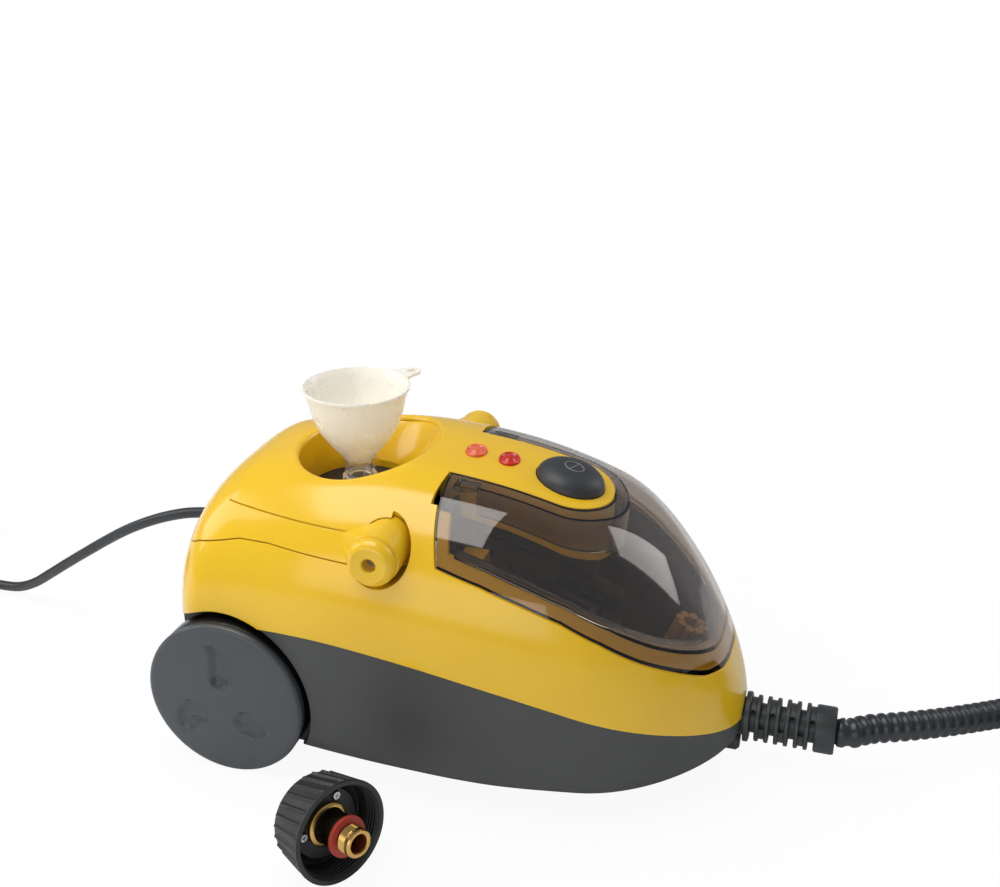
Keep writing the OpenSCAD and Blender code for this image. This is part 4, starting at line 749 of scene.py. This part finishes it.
wellSet = {"x": 55, "floorZ": 168, "floorR": 37, "openX": 64, "openA": 47, "openB": 55}


def wellRings(grow, low, flare):
    # from the floor up, then out in a soft lip that follows the housing
    rings = []
    for a in np.linspace(0, 2 * math.pi, 144, endpoint=False):
        c, s = math.cos(a), math.sin(a)
        x0, y0 = wellSet["x"] + (wellSet["floorR"] + grow) * c, (wellSet["floorR"] + grow) * s
        x1, y1 = wellSet["openX"] + (wellSet["openA"] + grow) * c, (wellSet["openB"] + grow) * s
        column = [(x0, y0, low), (x0, y0, wellSet["floorZ"] + 5)]
        radius = flare * (1 - 0.6 * max(c, 0) ** 2)

        def wallAt(share):
            share = share ** 1.15
            return x0 + (x1 - x0) * share, y0 + (y1 - y0) * share

        # where the wall meets the top
        height = surfaceHeight(x1, y1)
        lift = wellSet["floorZ"] + 5
        for k in range(1, 9):
            x, y = wallAt(k / 8)
            z = lift + (height - radius - lift) * k / 8
            column.append((x, y, z))
        for k in range(1, 7):
            t = math.radians(15 * k * 0.96)
            out = radius * (1 - math.cos(t))
            x, y = x1 + out * c, y1 + out * s
            column.append((x, y, surfaceHeight(x, y) - radius * (1 - math.sin(t))))
        x, y = column[-1][:2]
        column.append((x, y, 260))
        rings.append(column)
    return np.array(rings).transpose(1, 0, 2)


def upperShell():
    shell = upperForm("upperBody")
    hollow = upperForm("hollow", housing["wall"], 8)
    cut(hollow, zone("handleSpace", handleOutline, handleSet["gap"] + housing["wall"]))
    cut(shell, hollow)
    cut(shell, upperForm("deepHollow", handleSet["depth"] + handleSet["gap"] + housing["wall"], 8))
    # wall of the filler well
    wellWall = wrapped("wellWall", wellRings(housing["wall"], wellSet["floorZ"] - 3, 0.5))
    cut(wellWall, upperForm("trim", 0.4), "INTERSECT")
    cut(shell, wellWall, "UNION")
    # shelf that the lid closes on
    lap = bodySet["lap"]
    shelf = upperForm("shelf", housing["wall"] - lap)
    cut(shelf, upperForm("shelfUnder", lidDepth + housing["wall"], 8))
    cut(shelf, zone("shelfOut", lidOutline, 3), "INTERSECT")
    cut(shelf, zone("shelfIn", lidOutline, -lidSet["shelf"]))
    cut(shelf, spineColumn("shelfSpine", -housing["wall"]))
    cut(shell, shelf, "UNION")
    # ledge from the side in to the tray
    ledge = upperForm("ledge", housing["wall"] - lap)
    cut(ledge, upperForm("ledgeUnder", bodySet["ledgeDeep"], 8))
    cut(ledge, zone("ledgeOut", lidOutline, 3), "INTERSECT")
    cut(ledge, zone("ledgeIn", lidOutline))
    half = lidSet["trayHalf"]
    cut(ledge, slab("ledgeMiddle", 0, 400, -half, half, bodySet["below"], bodySet["above"]))
    cut(ledge, between("ledgeRear", -100, lidX + bodySet["ledgeRear"]))
    cut(shell, ledge, "UNION")
    # walls of the spine
    spine = upperForm("spineWalls", 0.5)
    cut(spine, upperForm("spineUnder", lidSet["spineDepth"], 8))
    cut(spine, spineColumn("spineOut"), "INTERSECT")
    cut(spine, spineColumn("spineIn", -housing["wall"]))
    cut(shell, spine, "UNION")
    # bosses round the handle pivots
    for side in (-1, 1):
        boss = onSide(lying("boss", handleSet["pocketR"] + housing["wall"], 60, 120, pivotX, pivotZ), side)
        cut(boss, upperForm("trim", 0.6), "INTERSECT")
        cut(shell, boss, "UNION")
    cup = roundBar("cup", bodySet["cupR"], -14, 10, 96, onTop(lidSet["switchX"]))
    cut(cup, upperForm("trim", 0.5), "INTERSECT")
    cut(shell, cup, "UNION")
    print("  upper shell joined")
    # channel of the carry handle
    channel = zone("channel", handleOutline, handleSet["gap"])
    cut(channel, handleCore("channelCore", handleSet["depth"], handleSet["gap"]))
    cut(shell, channel)
    for side in (-1, 1):
        pocket = lying("pocket", handleSet["pocketR"], handleSet["pocketY"], 160, pivotX, pivotZ)
        cut(pocket, slab("pocketKeep", 0, pivotX + 2.5, 60, 170, pivotZ + 8.8, 240))
        cut(pocket, lying("bore", handleSet["boreR"], handleSet["boreY"], 170, pivotX, pivotZ), "UNION")
        cut(shell, onSide(pocket, side))
        cutWheelSpace(shell, side)
    recess = zone("recess", lidOutline, lidSet["gap"])
    cut(recess, spineColumn("recessSpine"))
    cut(recess, upperForm("recessDeep", lidDepth))
    cut(shell, recess)
    # room for the rear edge of the lid as it swings
    swing = lying("swing", lidSet["swingR"], -lidSet["swingHalf"], lidSet["swingHalf"], *lidSet["hinge"])
    cut(swing, spineColumn("swingSpine"))
    cut(shell, swing)
    cut(shell, wrapped("well", wellRings(0, wellSet["floorZ"] - 30, 4.5)))
    cut(shell, roundBar("switchWell", bodySet["switchR"], -10, 10, 128, onTop(lidSet["switchX"])))
    for x in bodySet["lampXs"]:
        cut(shell, roundBar("lampHole", bodySet["lampR"], -9, 9, 64, lampPlace(x)))
    cut(shell, roundBar("cordHole", bodySet["cordHoleR"], 0, 24, 48, towardsNose(*bodySet["cordHole"])))
    inner, outer = bodySet["outletBore"], bodySet["guardBore"]
    return cut(shell, turned("neckHole", [(0, 0), (inner, 0), (inner, 14.5), (outer, 14.5), (outer, 60), (0, 60)], 64,
                             towardsNose(noseX - 16, 0, bodySet["outletZ"])))


upperBody = smooth(upperShell(), 28)
finished(upperBody, "yellowGloss", "housing", "housing_yellow", "upper_shell")
print("upper body", len(upperBody.data.polygons))


# lower body
def lowerShell():
    shell = lowerForm("lowerBody")
    cut(shell, lowerForm("lowerHollow", housing["wall"], 8))
    castorX, outletZ, lap = bodySet["castorX"], bodySet["outletZ"], bodySet["lap"]
    for side in (-1, 1):
        arch = onSide(lying("arch", bodySet["archR"], bodySet["archFrom"], 200, 0, bodySet["axleZ"], 160), side)
        cut(arch, lowerForm("trim", lap), "INTERSECT")
        cut(shell, arch, "UNION")
    wall = bodySet["socketWall"]
    socket = turned("socket", [(0, 0), (wall, 0), (wall, 36.6), (9, 36.6), (9, 50), (0, 50)], 96,
                    Matrix.Translation((castorX, 0, 0)))
    cut(socket, lowerForm("trim", lap), "INTERSECT")
    cut(shell, socket, "UNION")
    chin = turned("chin", [(0, 0), (6, 0), (7, 1), (7, 20), (5, 22), (0, 22)], 48, towardsNose(noseX - 24, 0, 14))
    cut(shell, chin, "UNION")
    collar = roundBar("collar", bodySet["collarR"], 0, 30, 96, towardsNose(noseX - 26, 0, outletZ))
    cut(collar, lowerForm("trim", lap), "INTERSECT")
    cut(shell, collar, "UNION")
    for side in (-1, 1):
        cutWheelSpace(shell, side)
    room, stem = bodySet["socketR"], bodySet["stemR"]
    cut(shell, turned("socketSpace", [(0, -1), (room, -1), (room, 34), (stem, 34), (stem, 60), (0, 60)], 96,
                      Matrix.Translation((castorX, 0, 0))))
    cut(shell, roundBar("neckHole", 13, 0, 60, 64, towardsNose(noseX - 26, 0, outletZ)))
    cut(shell, lying("axleHole", bodySet["axleR"], -150, 150, 0, bodySet["axleZ"], 32))
    for x in bodySet["screwXs"]:
        for side in (-1, 1):
            place = Matrix.Translation((x, side * (halfWidth(x) - bodySet["screwIn"]), 0))
            cut(shell, roundBar("screwHole", bodySet["screwR"], -1, 30, 32, place))
    return shell


lowerBody = smooth(lowerShell(), 28)
finished(lowerBody, "greySatin", "housing", "shell_grey", "lower_shell")
print("lower body", len(lowerBody.data.polygons))


# carry handle
hubProfile = [(4.06, 74), (15.8, 74), (16.4, 75), (16.4, 103.6), (15.6, 104.3), (14.8, 104.8), (14.8, 105.8),
              (15.6, 106.3), (15.9, 107.2), (15.9, 108.6), (15.4, 110.6), (14.2, 112.4), (12.8, 113.5), (11.4, 114),
              (11, 113.9), (5.4, 113.7), (4.5, 112.9), (4.4, 107), (4.06, 107)]


def bow():
    piece = upperForm("handleBow", 0, 20)
    cut(piece, zone("handleZone", handleOutline), "INTERSECT")
    thin = upperForm("bowSkin", handleSet["skin"], 8)
    for y in range(-80, 81, 20):
        cut(thin, slab("bowRib", -70, handleSet["frontX"] + 1, y - 1.2, y + 1.2, 90, 300))
    for side in (-1, 1):
        cut(thin, slab("armBlock", -20, 130, side * 40, side * 200, bodySet["below"], bodySet["above"]))
    cut(piece, thin)
    cut(piece, handleCore("bowCore", handleSet["depth"], 0))
    cut(piece, lying("hubSpace", handleSet["hubSpace"], -160, 160, pivotX, pivotZ))
    # hubs, each with a web that runs out into its arm
    for side in (-1, 1):
        hub = turned("hub", hubProfile, 128, Matrix.Rotation(-math.pi / 2, 4, "X"))
        points = [(80 - pivotX, y, z) for y, z in ((84, -6), (84, 7), (94.6, -6), (89.5, 7))]
        for a in range(95, 266, 6):
            for radius, y in ((16.1, 84), (16.1, 90), (16.1, 100), (15.5, 103)):
                x, z = polar(radius, a)
                points.append((x, y, z))
        web = hulled("web", points)
        cut(web, lying("webSpace", 6, 0, 170, 0, 0))
        cut(hub, web, "UNION")
        moved(hub, Matrix.Translation((pivotX, 0, pivotZ)) @ Matrix.Scale(side, 4, (0, 1, 0)))
        cut(piece, hub, "UNION")
    return piece


handleBow = smooth(bow(), 28)
finished(handleBow, "yellowGloss", "carry_handle", "handle_yellow", "handle_bow", "handle_hubs")
print("handle", len(handleBow.data.polygons))


# clear lid
def clearLidShell():
    piece = upperForm("clearLid")
    cut(piece, upperForm("lidUnder", lidSet["wall"], 8))
    cut(piece, zone("lidZone", lidOutline), "INTERSECT")
    cut(piece, between("lidRear", lidX + 0.4, 400), "INTERSECT")
    gap, inner = lidSet["gap"], lidSet["wall"] - 0.4
    cut(piece, spineColumn("lidSpine", gap))
    # skirts under the lid along the spine and the lower edge
    for deep, alongSpine in ((19, True), (7, False)):
        skirt = upperForm("skirt", inner)
        cut(skirt, upperForm("skirtUnder", deep, 8))
        if alongSpine:
            cut(skirt, spineColumn("skirtOut", gap + 8.6), "INTERSECT")
            cut(skirt, spineColumn("skirtIn", gap + 7))
            cut(skirt, zone("skirtZone", lidOutline, -7), "INTERSECT")
        else:
            cut(skirt, zone("skirtZone", lidOutline, -6.6), "INTERSECT")
            cut(skirt, zone("skirtInner", lidOutline, -8.2))
            cut(skirt, spineColumn("skirtSpine", gap + 8))
        cut(skirt, between("skirtRear", lidX + 20, 400), "INTERSECT")
        cut(piece, skirt, "UNION")
    return piece


clearLid = smooth(clearLidShell(), 28)
finished(clearLid, "smokedClear", "accessory_lid", "lid_smoke", "lid_shell")
print("lid", len(clearLid.data.polygons))


# rear wheels and their covers
wheelSet = {
    "steps": 192, "around": 360, "reach": 116, "shallow": 2.6, "deeper": 1.2,
    "profile": [(4.06, 91), (14, 91), (14, 98), (18, 100), (43, 100), (45, 92.5), (46, 91.4), (52, 91), (54.4, 92),
                (55.4, 93.8), (55.8, 96), (55.8, 108.2), (55.5, 109.4), (54.6, 110.3), (53, 110.5), (9, 110.5),
                (9, 106), (4.06, 106)],
    "edge": [(54.3, 110.5), (55.4, 110.6), (55.9, 111.1), (56, 112), (56, 113.4), (55.6, 114.6), (54.7, 115.4),
             (53.4, 115.85), (51.6, 116), (48, 116), (44, 116)],
    # each dimple is a crisp edge and a soft one, and so is the deeper spot in it
    "dimples": [
        ([(-9.9, 42.3), (-3.2, 41.8), (3.0, 36.8), (7.3, 30.2), (8.5, 22.4), (7.3, 15.0), (4.6, 10.0)],
         [(-1.6, 6.7), (-7.5, 7.6), (-10.4, 12.4), (-10.4, 20.5), (-9.2, 28.8), (-9.4, 34.9), (-11.4, 39.8)]),
        ([(-31.3, -6.4), (-25.8, -3.9), (-19.8, -3.6), (-15.3, -5.9), (-12.8, -10.9), (-13.4, -17.5),
          (-16.7, -23.8)],
         [(-22.4, -28.8), (-29.7, -31.3), (-35.5, -28.7), (-37.9, -22.7), (-37.2, -16.0), (-35.3, -10.9)]),
        ([(7.9, -8.9), (12.4, -6.4), (17.1, -5.8), (19.8, -8.7), (22.8, -13.1), (27.5, -16.7), (33.3, -17.9)],
         [(32.1, -22.6), (25.8, -26.7), (17.3, -27.7), (10.0, -23.7), (5.4, -18.2), (4.1, -13.8)])],
    "pits": [
        ([(-9.7, 14.8), (-4.9, 16.4), (0.9, 15.5), (5.2, 11.9)], [(4.1, 9.0), (-1.7, 6.5), (-6.7, 7.3), (-9.3, 10.8)]),
        ([(-29.1, -21.7), (-25.7, -18.7), (-21.3, -17.8), (-18.0, -19.9), (-17.8, -22.2)],
         [(-21.9, -24.0), (-26.3, -23.9)]),
        ([(9.3, -21.9), (12.6, -22.6), (17.7, -23.4), (25.1, -26.0)], [(20.6, -28.3), (14.7, -27.7), (10.7, -24.9)])],
}


def easy(t):
    t = np.clip(t, 0, 1)
    return t * t * (3 - 2 * t)


def nearLine(x, z, line):
    best = np.full(x.shape, 1e9)
    for a, b in zip(line[:-1], line[1:]):
        d = b - a
        t = np.clip(((x - a[0]) * d[0] + (z - a[1]) * d[1]) / (d @ d), 0, 1)
        best = np.minimum(best, np.hypot(x - a[0] - t * d[0], z - a[1] - t * d[1]))
    return best


def inOutline(x, z, outline):
    inside = np.zeros(x.shape, bool)
    for a, b in zip(outline, np.roll(outline, -1, axis=0)):
        if a[1] != b[1]:
            inside ^= ((a[1] > z) != (b[1] > z)) & (x < (b[0] - a[0]) * (z - a[1]) / (b[1] - a[1]) + a[0])
    return inside


def dimpleDepth(x, z):
    depth = np.zeros(x.shape)
    for group, deep, reach in (("dimples", wheelSet["shallow"], 6), ("pits", wheelSet["deeper"], 4)):
        for crisp, soft in wheelSet[group]:
            crisp = spline(crisp, 8)
            soft = spline([crisp[-1], *soft, crisp[0]], 8)
            inside = inOutline(x, z, np.concatenate([crisp, soft[1:-1]]))
            depth += inside * deep * easy(nearLine(x, z, crisp) / 0.9) * easy(nearLine(x, z, soft) / reach)
    return depth


def wheelCover(name, side):
    angle = np.linspace(0, 2 * math.pi, wheelSet["around"], endpoint=False)
    across, up = np.cos(angle), np.sin(angle)
    rings = [np.stack([r * across, np.full_like(angle, side * y), r * up + bodySet["axleZ"]], axis=1)
             for r, y in wheelSet["edge"]]
    for r in np.arange(42.5, 0.4, -0.55):
        deep = dimpleDepth(r * across, r * up)
        rings.append(np.stack([r * across, side * (wheelSet["reach"] - deep), r * up + bodySet["axleZ"]], axis=1))
    return smooth(wrapped(name, rings), 40)


for side, word in ((-1, "right"), (1, "left")):
    place = Matrix.Translation((0, 0, bodySet["axleZ"])) @ Matrix.Rotation(-side * math.pi / 2, 4, "X")
    tyre = smooth(turned(word + "Tyre", wheelSet["profile"], wheelSet["steps"], place), 30)
    finished(tyre, "tyreBlack", word + "_wheel", "wheel_grey", "wheel_" + word)
    finished(wheelCover(word + "Cover", side), "coverSlate", word + "_wheel", "wheel_grey", "cover_" + word)
print("wheels")

# safety cap
capSet = {"rim": 32.8, "small": 29, "depth": 33, "yaw": -28.5, "place": (114.8, -187.5), "fins": 25, "finRise": 1.5,
          "perFin": 14, "lean": 0.5, "bodyR": (26.6, 31.2), "finSpan": (0.62, 0.74, 0.86), "threadFrom": 7.8,
          "threadStep": 0.55}
capLean = math.asin((capSet["rim"] - capSet["small"]) / capSet["depth"])
capPlace = (Matrix.Translation((*capSet["place"], capSet["rim"] * math.cos(capLean)))
            @ Matrix.Rotation(math.radians(capSet["yaw"]), 4, "Z") @ Matrix.Rotation(math.pi / 2 - capLean, 4, "Y"))


def capKnob():
    steps = capSet["fins"] * capSet["perFin"]
    angle = np.linspace(0, 2 * math.pi, steps, endpoint=False)
    foot, head = capSet["bodyR"]
    # radius, height and share of the fins' rise
    body = [(22, -33, 0), (25.6, -32.3, 0), (26.4, -31.3, 0)]
    for k in range(25):
        z = -30.6 + 28.2 * k / 24
        fade = min(1, (z + 30.8) / 1.2) * min(1, (-1.6 - z) / 1.6)
        body.append((foot + (head - foot) * (z + 31) / 29, z, max(fade, 0)))
    body += [(31.7, -2.0, 0), (32.5, -1.7, 0), (32.8, -1.2, 0), (32.8, -0.3, 0), (32.4, 0, 0), (29.9, 0, 0),
             (29.4, -0.4, 0)]
    for k in range(4):
        z = -2.2 - 2.6 * k
        body += [(28.7, z, 0), (28.1, z - 0.5, 0), (28.1, z - 1.3, 0), (28.7, z - 1.8, 0)]
    body += [(27.9, -13, 0), (27.4, -18.4, 0), (26.8, -19, 0), (23.4, -19, 0), (22.8, -18.6, 0), (22.6, -15.5, 0),
             (22, -15, 0), (11.6, -15, 0), (11.6, -25, 0)]
    rings = []
    for r, z, fin in body:
        turn = (angle / (2 * math.pi) * capSet["fins"] + capSet["lean"] * (z + 30) / 28) % 1
        tooth = np.interp(turn, (*capSet["finSpan"], 1), (0, 1, 1, 0))
        radius = r + capSet["finRise"] * fin * tooth
        rings.append(np.stack([radius * np.cos(angle), radius * np.sin(angle), np.full_like(angle, z)], axis=1))
    return smooth(moved(wrapped("capKnob", rings), capPlace), 34)


finished(capKnob(), "capSlate", "cap_grip", "black_plastic", "cap_knob")
stemProfile = [(0, -24.5), (11.54, -24.5), (11.54, -15), (13.8, -15), (14, -14.7), (14, -12.3), (13.6, -12),
               (11.6, -11.6), (11.2, -11), (11, -10), (11, 3.4), (10.8, 4), (8.4, 4), (8.4, 7.6)]
stemProfile += [(9.0 if k % 2 else 8.5, capSet["threadFrom"] + capSet["threadStep"] * k) for k in range(12)]
stemProfile += [(8.9, 14.3), (8.9, 16.6), (8.2, 17.5), (6.6, 17.5), (6, 17), (6, -10), (0, -10)]
capStem = smooth(turned("capStem", stemProfile, 96, capPlace), 30)
finished(capStem, "darkBrass", "cap_core", "brass", "cap_stem")
# the thread and the foot are polished, and the bore is reddish
capStem.data.materials.append(finishes["brass"])
capStem.data.materials.append(finishes["brassBore"])
back = capPlace.inverted()
for face in capStem.data.polygons:
    at = back @ (face.center / mm)
    radius = math.hypot(at.x, at.y)
    if radius < 6.3 and at.z < 16.8:
        face.material_index = 2
    elif at.z > 6.5 or at.z < -11.5:
        face.material_index = 1
washerProfile = [(8.4, 4), (12.7, 4), (13, 4.3), (13, 6.3), (12.7, 6.6), (8.4, 6.6)]
capWasher = smooth(turned("capWasher", washerProfile, 96, capPlace), 30)
finished(capWasher, "redRubber", "cap_core", "washer_red", "cap_washer")
print("cap")

# bend guard of the hose
guardSet = {"first": 336.6, "pitch": 6.5, "slot": 3.6, "slots": 7}


def hoseGuard():
    along = towardsNose(0, 0, bodySet["outletZ"])
    slotXs = [guardSet["first"] + i * guardSet["pitch"] for i in range(guardSet["slots"])]
    profile = [(8, 317), (13, 317), (13, 330.9), (16.6, 331), (17, 331.3), (17, 334), (16.7, 334.5), (15.7, 334.8),
               (13.8, 334.9)]
    for i, x in enumerate(slotXs):
        rise = [(15.7, x - 2.3), (15.2, x - 1.9), (13.8, x - 1.7)] if i else []
        profile += rise + [(13.8, x + 1.7), (15.2, x + 1.9), (15.7, x + 2.3)]
    profile += [(15.7, 378.2), (16, 378.6), (16, 389.4), (15.4, 390.8), (14.8, 391), (8, 391)]
    piece = turned("hoseGuard", profile, 96, along)
    half = guardSet["slot"] / 2
    for i, x in enumerate(slotXs):
        low, high = (-30, 11) if i % 2 == 0 else (0, 30)
        outline = rounded([(x - half, low), (x + half, low), (x + half, high), (x - half, high)], half * 0.95, 5)
        cut(piece, extruded("slot", [(a, b + bodySet["outletZ"]) for a, b in outline], -30, 30, "xz"))
    liner = turned("liner", [(8, 320), (10.4, 320), (10.4, 389), (8, 389)], 64, along)
    return smooth(cut(piece, liner, "UNION"), 30)


finished(hoseGuard(), "guardSlate", "housing", "guard_rubber", "hose_guard")
print("hose guard")

# filling funnel
funnelOuter = [
    (8.1, 156.5), (8.4, 157.5), (8.4, 176.5), (11.6, 176.5), (12, 176.9), (12, 178.2), (11.7, 178.6), (9.4, 178.9),
    (8.9, 179.5), (8.9, 184), (9.7, 189), (10.6, 191), (11.4, 192.5), (13, 195), (15.6, 198), (18.9, 202), (23.3, 208),
    (26.8, 213.6), (28.9, 218.5), (30.8, 224), (32.2, 230), (33.6, 236), (34.7, 240.6), (35.4, 241.4), (36.2, 241.8),
    (36.4, 242.4), (36.4, 243.4), (36.1, 243.9), (35.6, 244)]
funnelInner = [
    (35, 243.7), (34.2, 242.4), (33.3, 240.2), (32.2, 236), (30.8, 230), (29.4, 224), (27.5, 218.7), (25.3, 214),
    (21.8, 208.6), (17.5, 202.8), (14.2, 199), (11.6, 196), (10, 193.6), (9.1, 191.6), (8.2, 189), (7.4, 184),
    (7.1, 179), (6.8, 156.5)]
tabSet = {"turn": 56, "low": 242, "high": 243.9, "end": 46.4, "endR": 6, "hole": (44.4, 46.9), "holeR": 2.4}
clearBelow = 192.5 * mm
fillingFunnel = turned("fillingFunnel", funnelOuter + funnelInner, 144)
for a in range(45, 360, 90):
    fin = extruded("fin", [(8.3, 179.2), (11, 179.2), (10.4, 191), (9.4, 191)], -0.5, 0.5, "xz")
    cut(fillingFunnel, moved(fin, Matrix.Rotation(math.radians(a), 4, "Z")), "UNION")
tabOutline = [(36, -9), (38, -8.6), (42, -7.4)]
for a in range(-78, 79, 12):
    x, y = polar(tabSet["endR"], a)
    tabOutline.append((tabSet["end"] + x, y))
tabOutline += [(42, 7.4), (38, 8.6), (36, 9), (35.2, 7), (35.4, 0), (35.2, -7)]
tab = extruded("tab", tabOutline, tabSet["low"], tabSet["high"])
holeOutline = []
for centre, first in zip(tabSet["hole"], (90, -90)):
    for a in range(first, first + 181, 15):
        x, y = polar(tabSet["holeR"], a)
        holeOutline.append((centre + x, y))
cut(tab, extruded("tabHole", holeOutline, tabSet["low"] - 2, tabSet["high"] + 2.1))
cut(fillingFunnel, moved(tab, Matrix.Rotation(math.radians(tabSet["turn"]), 4, "Z")), "UNION")
moved(fillingFunnel, Matrix.Translation((wellSet["x"], 0, 0)))
smooth(fillingFunnel, 30)
finished(fillingFunnel, "milkyFunnel", "filling_funnel", "funnel_cream", "funnel")
fillingFunnel.data.materials.append(finishes["clearNeck"])
for face in fillingFunnel.data.polygons:
    if face.center.z < clearBelow:
        face.material_index = 1
print("funnel")

# switch, lamps and well floor
buttonProfile = [(0, -12), (7.4, -12), (7.4, -5), (22.6, -5), (23, -4.6), (23, 0.4), (22.9, 1.6), (22.3, 3.2),
                 (21, 4.9), (18.8, 6.7), (16, 8.1), (12.6, 9.2), (8.6, 9.75), (4, 9.96), (0, 10)]
markSet = {"long": 6.6, "wide": 5.75, "turn": -21, "barHalf": 6.75, "thick": 0.5}
powerButton = turned("powerButton", buttonProfile, 160)


def domeHeight(r):
    outside = sorted(buttonProfile[7:])
    return float(np.interp(r, [p[0] for p in outside], [p[1] for p in outside]))


def onDome(x, y, degrees, lift):
    angle = math.radians(degrees)
    x, y = x * math.cos(angle) - y * math.sin(angle), x * math.sin(angle) + y * math.cos(angle)
    return x, y, domeHeight(math.hypot(x, y)) + lift


ring = [onDome(polar(markSet["long"], a)[0], polar(markSet["wide"], a)[1], markSet["turn"], 0.1)
        for a in range(0, 360, 5)]
mark = wrapped("mark", sweepRings(ring, markSet["thick"], 8), capped=False)
bar = [onDome(t, 0, markSet["turn"] + 90, 0.15) for t in np.linspace(-markSet["barHalf"], markSet["barHalf"], 14)]
barPiece = wrapped("bar", sweepRings(bar, markSet["thick"], 8))
smooth(powerButton, 30)
for piece in (mark, barPiece):
    moved(piece, onTop(lidSet["switchX"]))
    smooth(piece, 60)
moved(powerButton, onTop(lidSet["switchX"]))
finished(powerButton, "buttonBlack", "switch_button", "button_grey", "power_button")
finished(mark, "markGrey", "switch_button", "button_grey")
finished(barPiece, "markGrey", "switch_button", "button_grey")
lensProfile = [(0, -6), (9.5, -6), (9.5, 0.9), (9.3, 1.5), (8.8, 1.8), (8.2, 1.7), (7.7, 1.2), (7.2, 0.9), (6.4, 1.1),
               (5.2, 1.9), (3.4, 2.8), (1.6, 3.3), (0, 3.4)]
for x, word, finish in zip(bodySet["lampXs"], ("heat_lamp_lens", "power_lamp_lens"), ("orangeLamp", "redLamp")):
    lens = turned(word[:-5] + "Lens", lensProfile, 96, lampPlace(x))
    finished(smooth(lens, 30), finish, "housing", "lamp_red", word)
print("switch and lamps")

# floor, lights and surroundings
floorSet = {"size": 12, "tone": 0.9, "fade": (0.3, 0.6), "share": (0.93, 1.0)}
deselectAll()
bpy.ops.mesh.primitive_plane_add(size=floorSet["size"], location=(0, 0, 0))
floorPlane = named("floorPlane")
floorPaint, nodes, links, shader, output = blankMaterial("floorPaint")
shader.inputs["Base Color"].default_value = (*[floorSet["tone"]] * 3, 1)
shader.inputs["Roughness"].default_value = 0.9
lit = nodes.new("ShaderNodeEmission")
lit.inputs["Color"].default_value = (1, 1, 1, 1)
# the shadow fades out away from the object
where = nodes.new("ShaderNodeTexCoord")
reach = nodes.new("ShaderNodeVectorMath")
reach.operation = "LENGTH"
links.new(where.outputs["Object"], reach.inputs[0])
fade = rangeOf(nodes, links, reach.outputs["Value"], *floorSet["share"], *floorSet["fade"])
part = nodes.new("ShaderNodeMath")
part.operation = "MULTIPLY"
links.new(lookersOf(nodes, links), part.inputs[0])
links.new(fade, part.inputs[1])
links.new(blended(nodes, links, part.outputs[0], shader.outputs[0], lit.outputs[0]), output.inputs[0])
floorPlane.data.materials.append(floorPaint)

world = bpy.context.scene.world or bpy.data.worlds.new("surroundings")
bpy.context.scene.world = world
world.use_nodes = True
world.node_tree.nodes.clear()
nodes, links = world.node_tree.nodes, world.node_tree.links
out = nodes.new("ShaderNodeOutputWorld")
white = nodes.new("ShaderNodeBackground")
white.inputs["Color"].default_value = (1, 1, 1, 1)
white.inputs["Strength"].default_value = 1.0
dim = nodes.new("ShaderNodeBackground")
dim.inputs["Color"].default_value = (0.86, 0.9, 1.0, 1)
dim.inputs["Strength"].default_value = 0.34
links.new(blended(nodes, links, lookersOf(nodes, links), dim.outputs[0], white.outputs[0]), out.inputs[0])

lamps = [
    # name, place, point it looks at, width, height, power
    ("overheadBox", (-0.32, -0.15, 1.5), (-0.32, -0.15, 0), 1.14, 1.1, 16),
    ("nearBox", (-0.1, -1.7, 0.62), (0.1, 0, 0.12), 1.9, 0.8, 8.5),
    ("leftBox", (-1.4, -0.2, 0.9), (0.1, 0, 0.12), 0.9, 1.0, 7.5),
    ("rightBox", (1.4, 1.2, 0.9), (0.1, 0, 0.12), 0.8, 1.0, 6),
]
for name, place, target, wide, high, power in lamps:
    deselectAll()
    aim = (Vector(target) - Vector(place)).to_track_quat("-Z", "Y").to_euler()
    bpy.ops.object.light_add(type="AREA", location=place, rotation=aim)
    lamp = bpy.context.object
    lamp.name = name
    lamp.data.shape = "RECTANGLE"
    lamp.data.size = wide
    lamp.data.size_y = high
    lamp.data.energy = power

# carried-over parts get their finishes
bySlot = {
    "housing_yellow": "yellowPlain", "shell_grey": "greySatin", "wheel_grey": "blackRubber",
    "handle_yellow": "yellowGloss", "lid_smoke": "smokedClear", "tray_dark": "blackSatin", "steel": "plainSteel",
    "copper_pipe": "brass", "brass": "brass", "chrome_screw": "plainSteel", "black_plastic": "blackSatin",
    "button_grey": "buttonBlack", "lamp_red": "redLamp", "funnel_cream": "milkyClear",
    "washer_red": "redRubber", "seal_rubber": "redRubber", "cord_rubber": "cordBlack", "hose_rubber": "hoseBlack",
    "guard_rubber": "guardSlate", "bristle": "bristleTan", "trigger_red": "redRubber",
}
byNode = {"heat_lamp_lens": "orangeLamp", "tray_block": "yellowPlain", "spine_cover": "blackSatin",
          "steam_elbow": "brass"}
for entry in frame["record"]["subparts"]:
    node = frame["nodes"][entry["node"]]
    finish = byNode.get(entry["node"], bySlot.get(entry["material_slot"], "blackSatin"))
    node.data.materials.clear()
    node.data.materials.append(finishes[finish])
print("carried parts finished")

bpy.context.scene.view_settings.view_transform = "Standard"
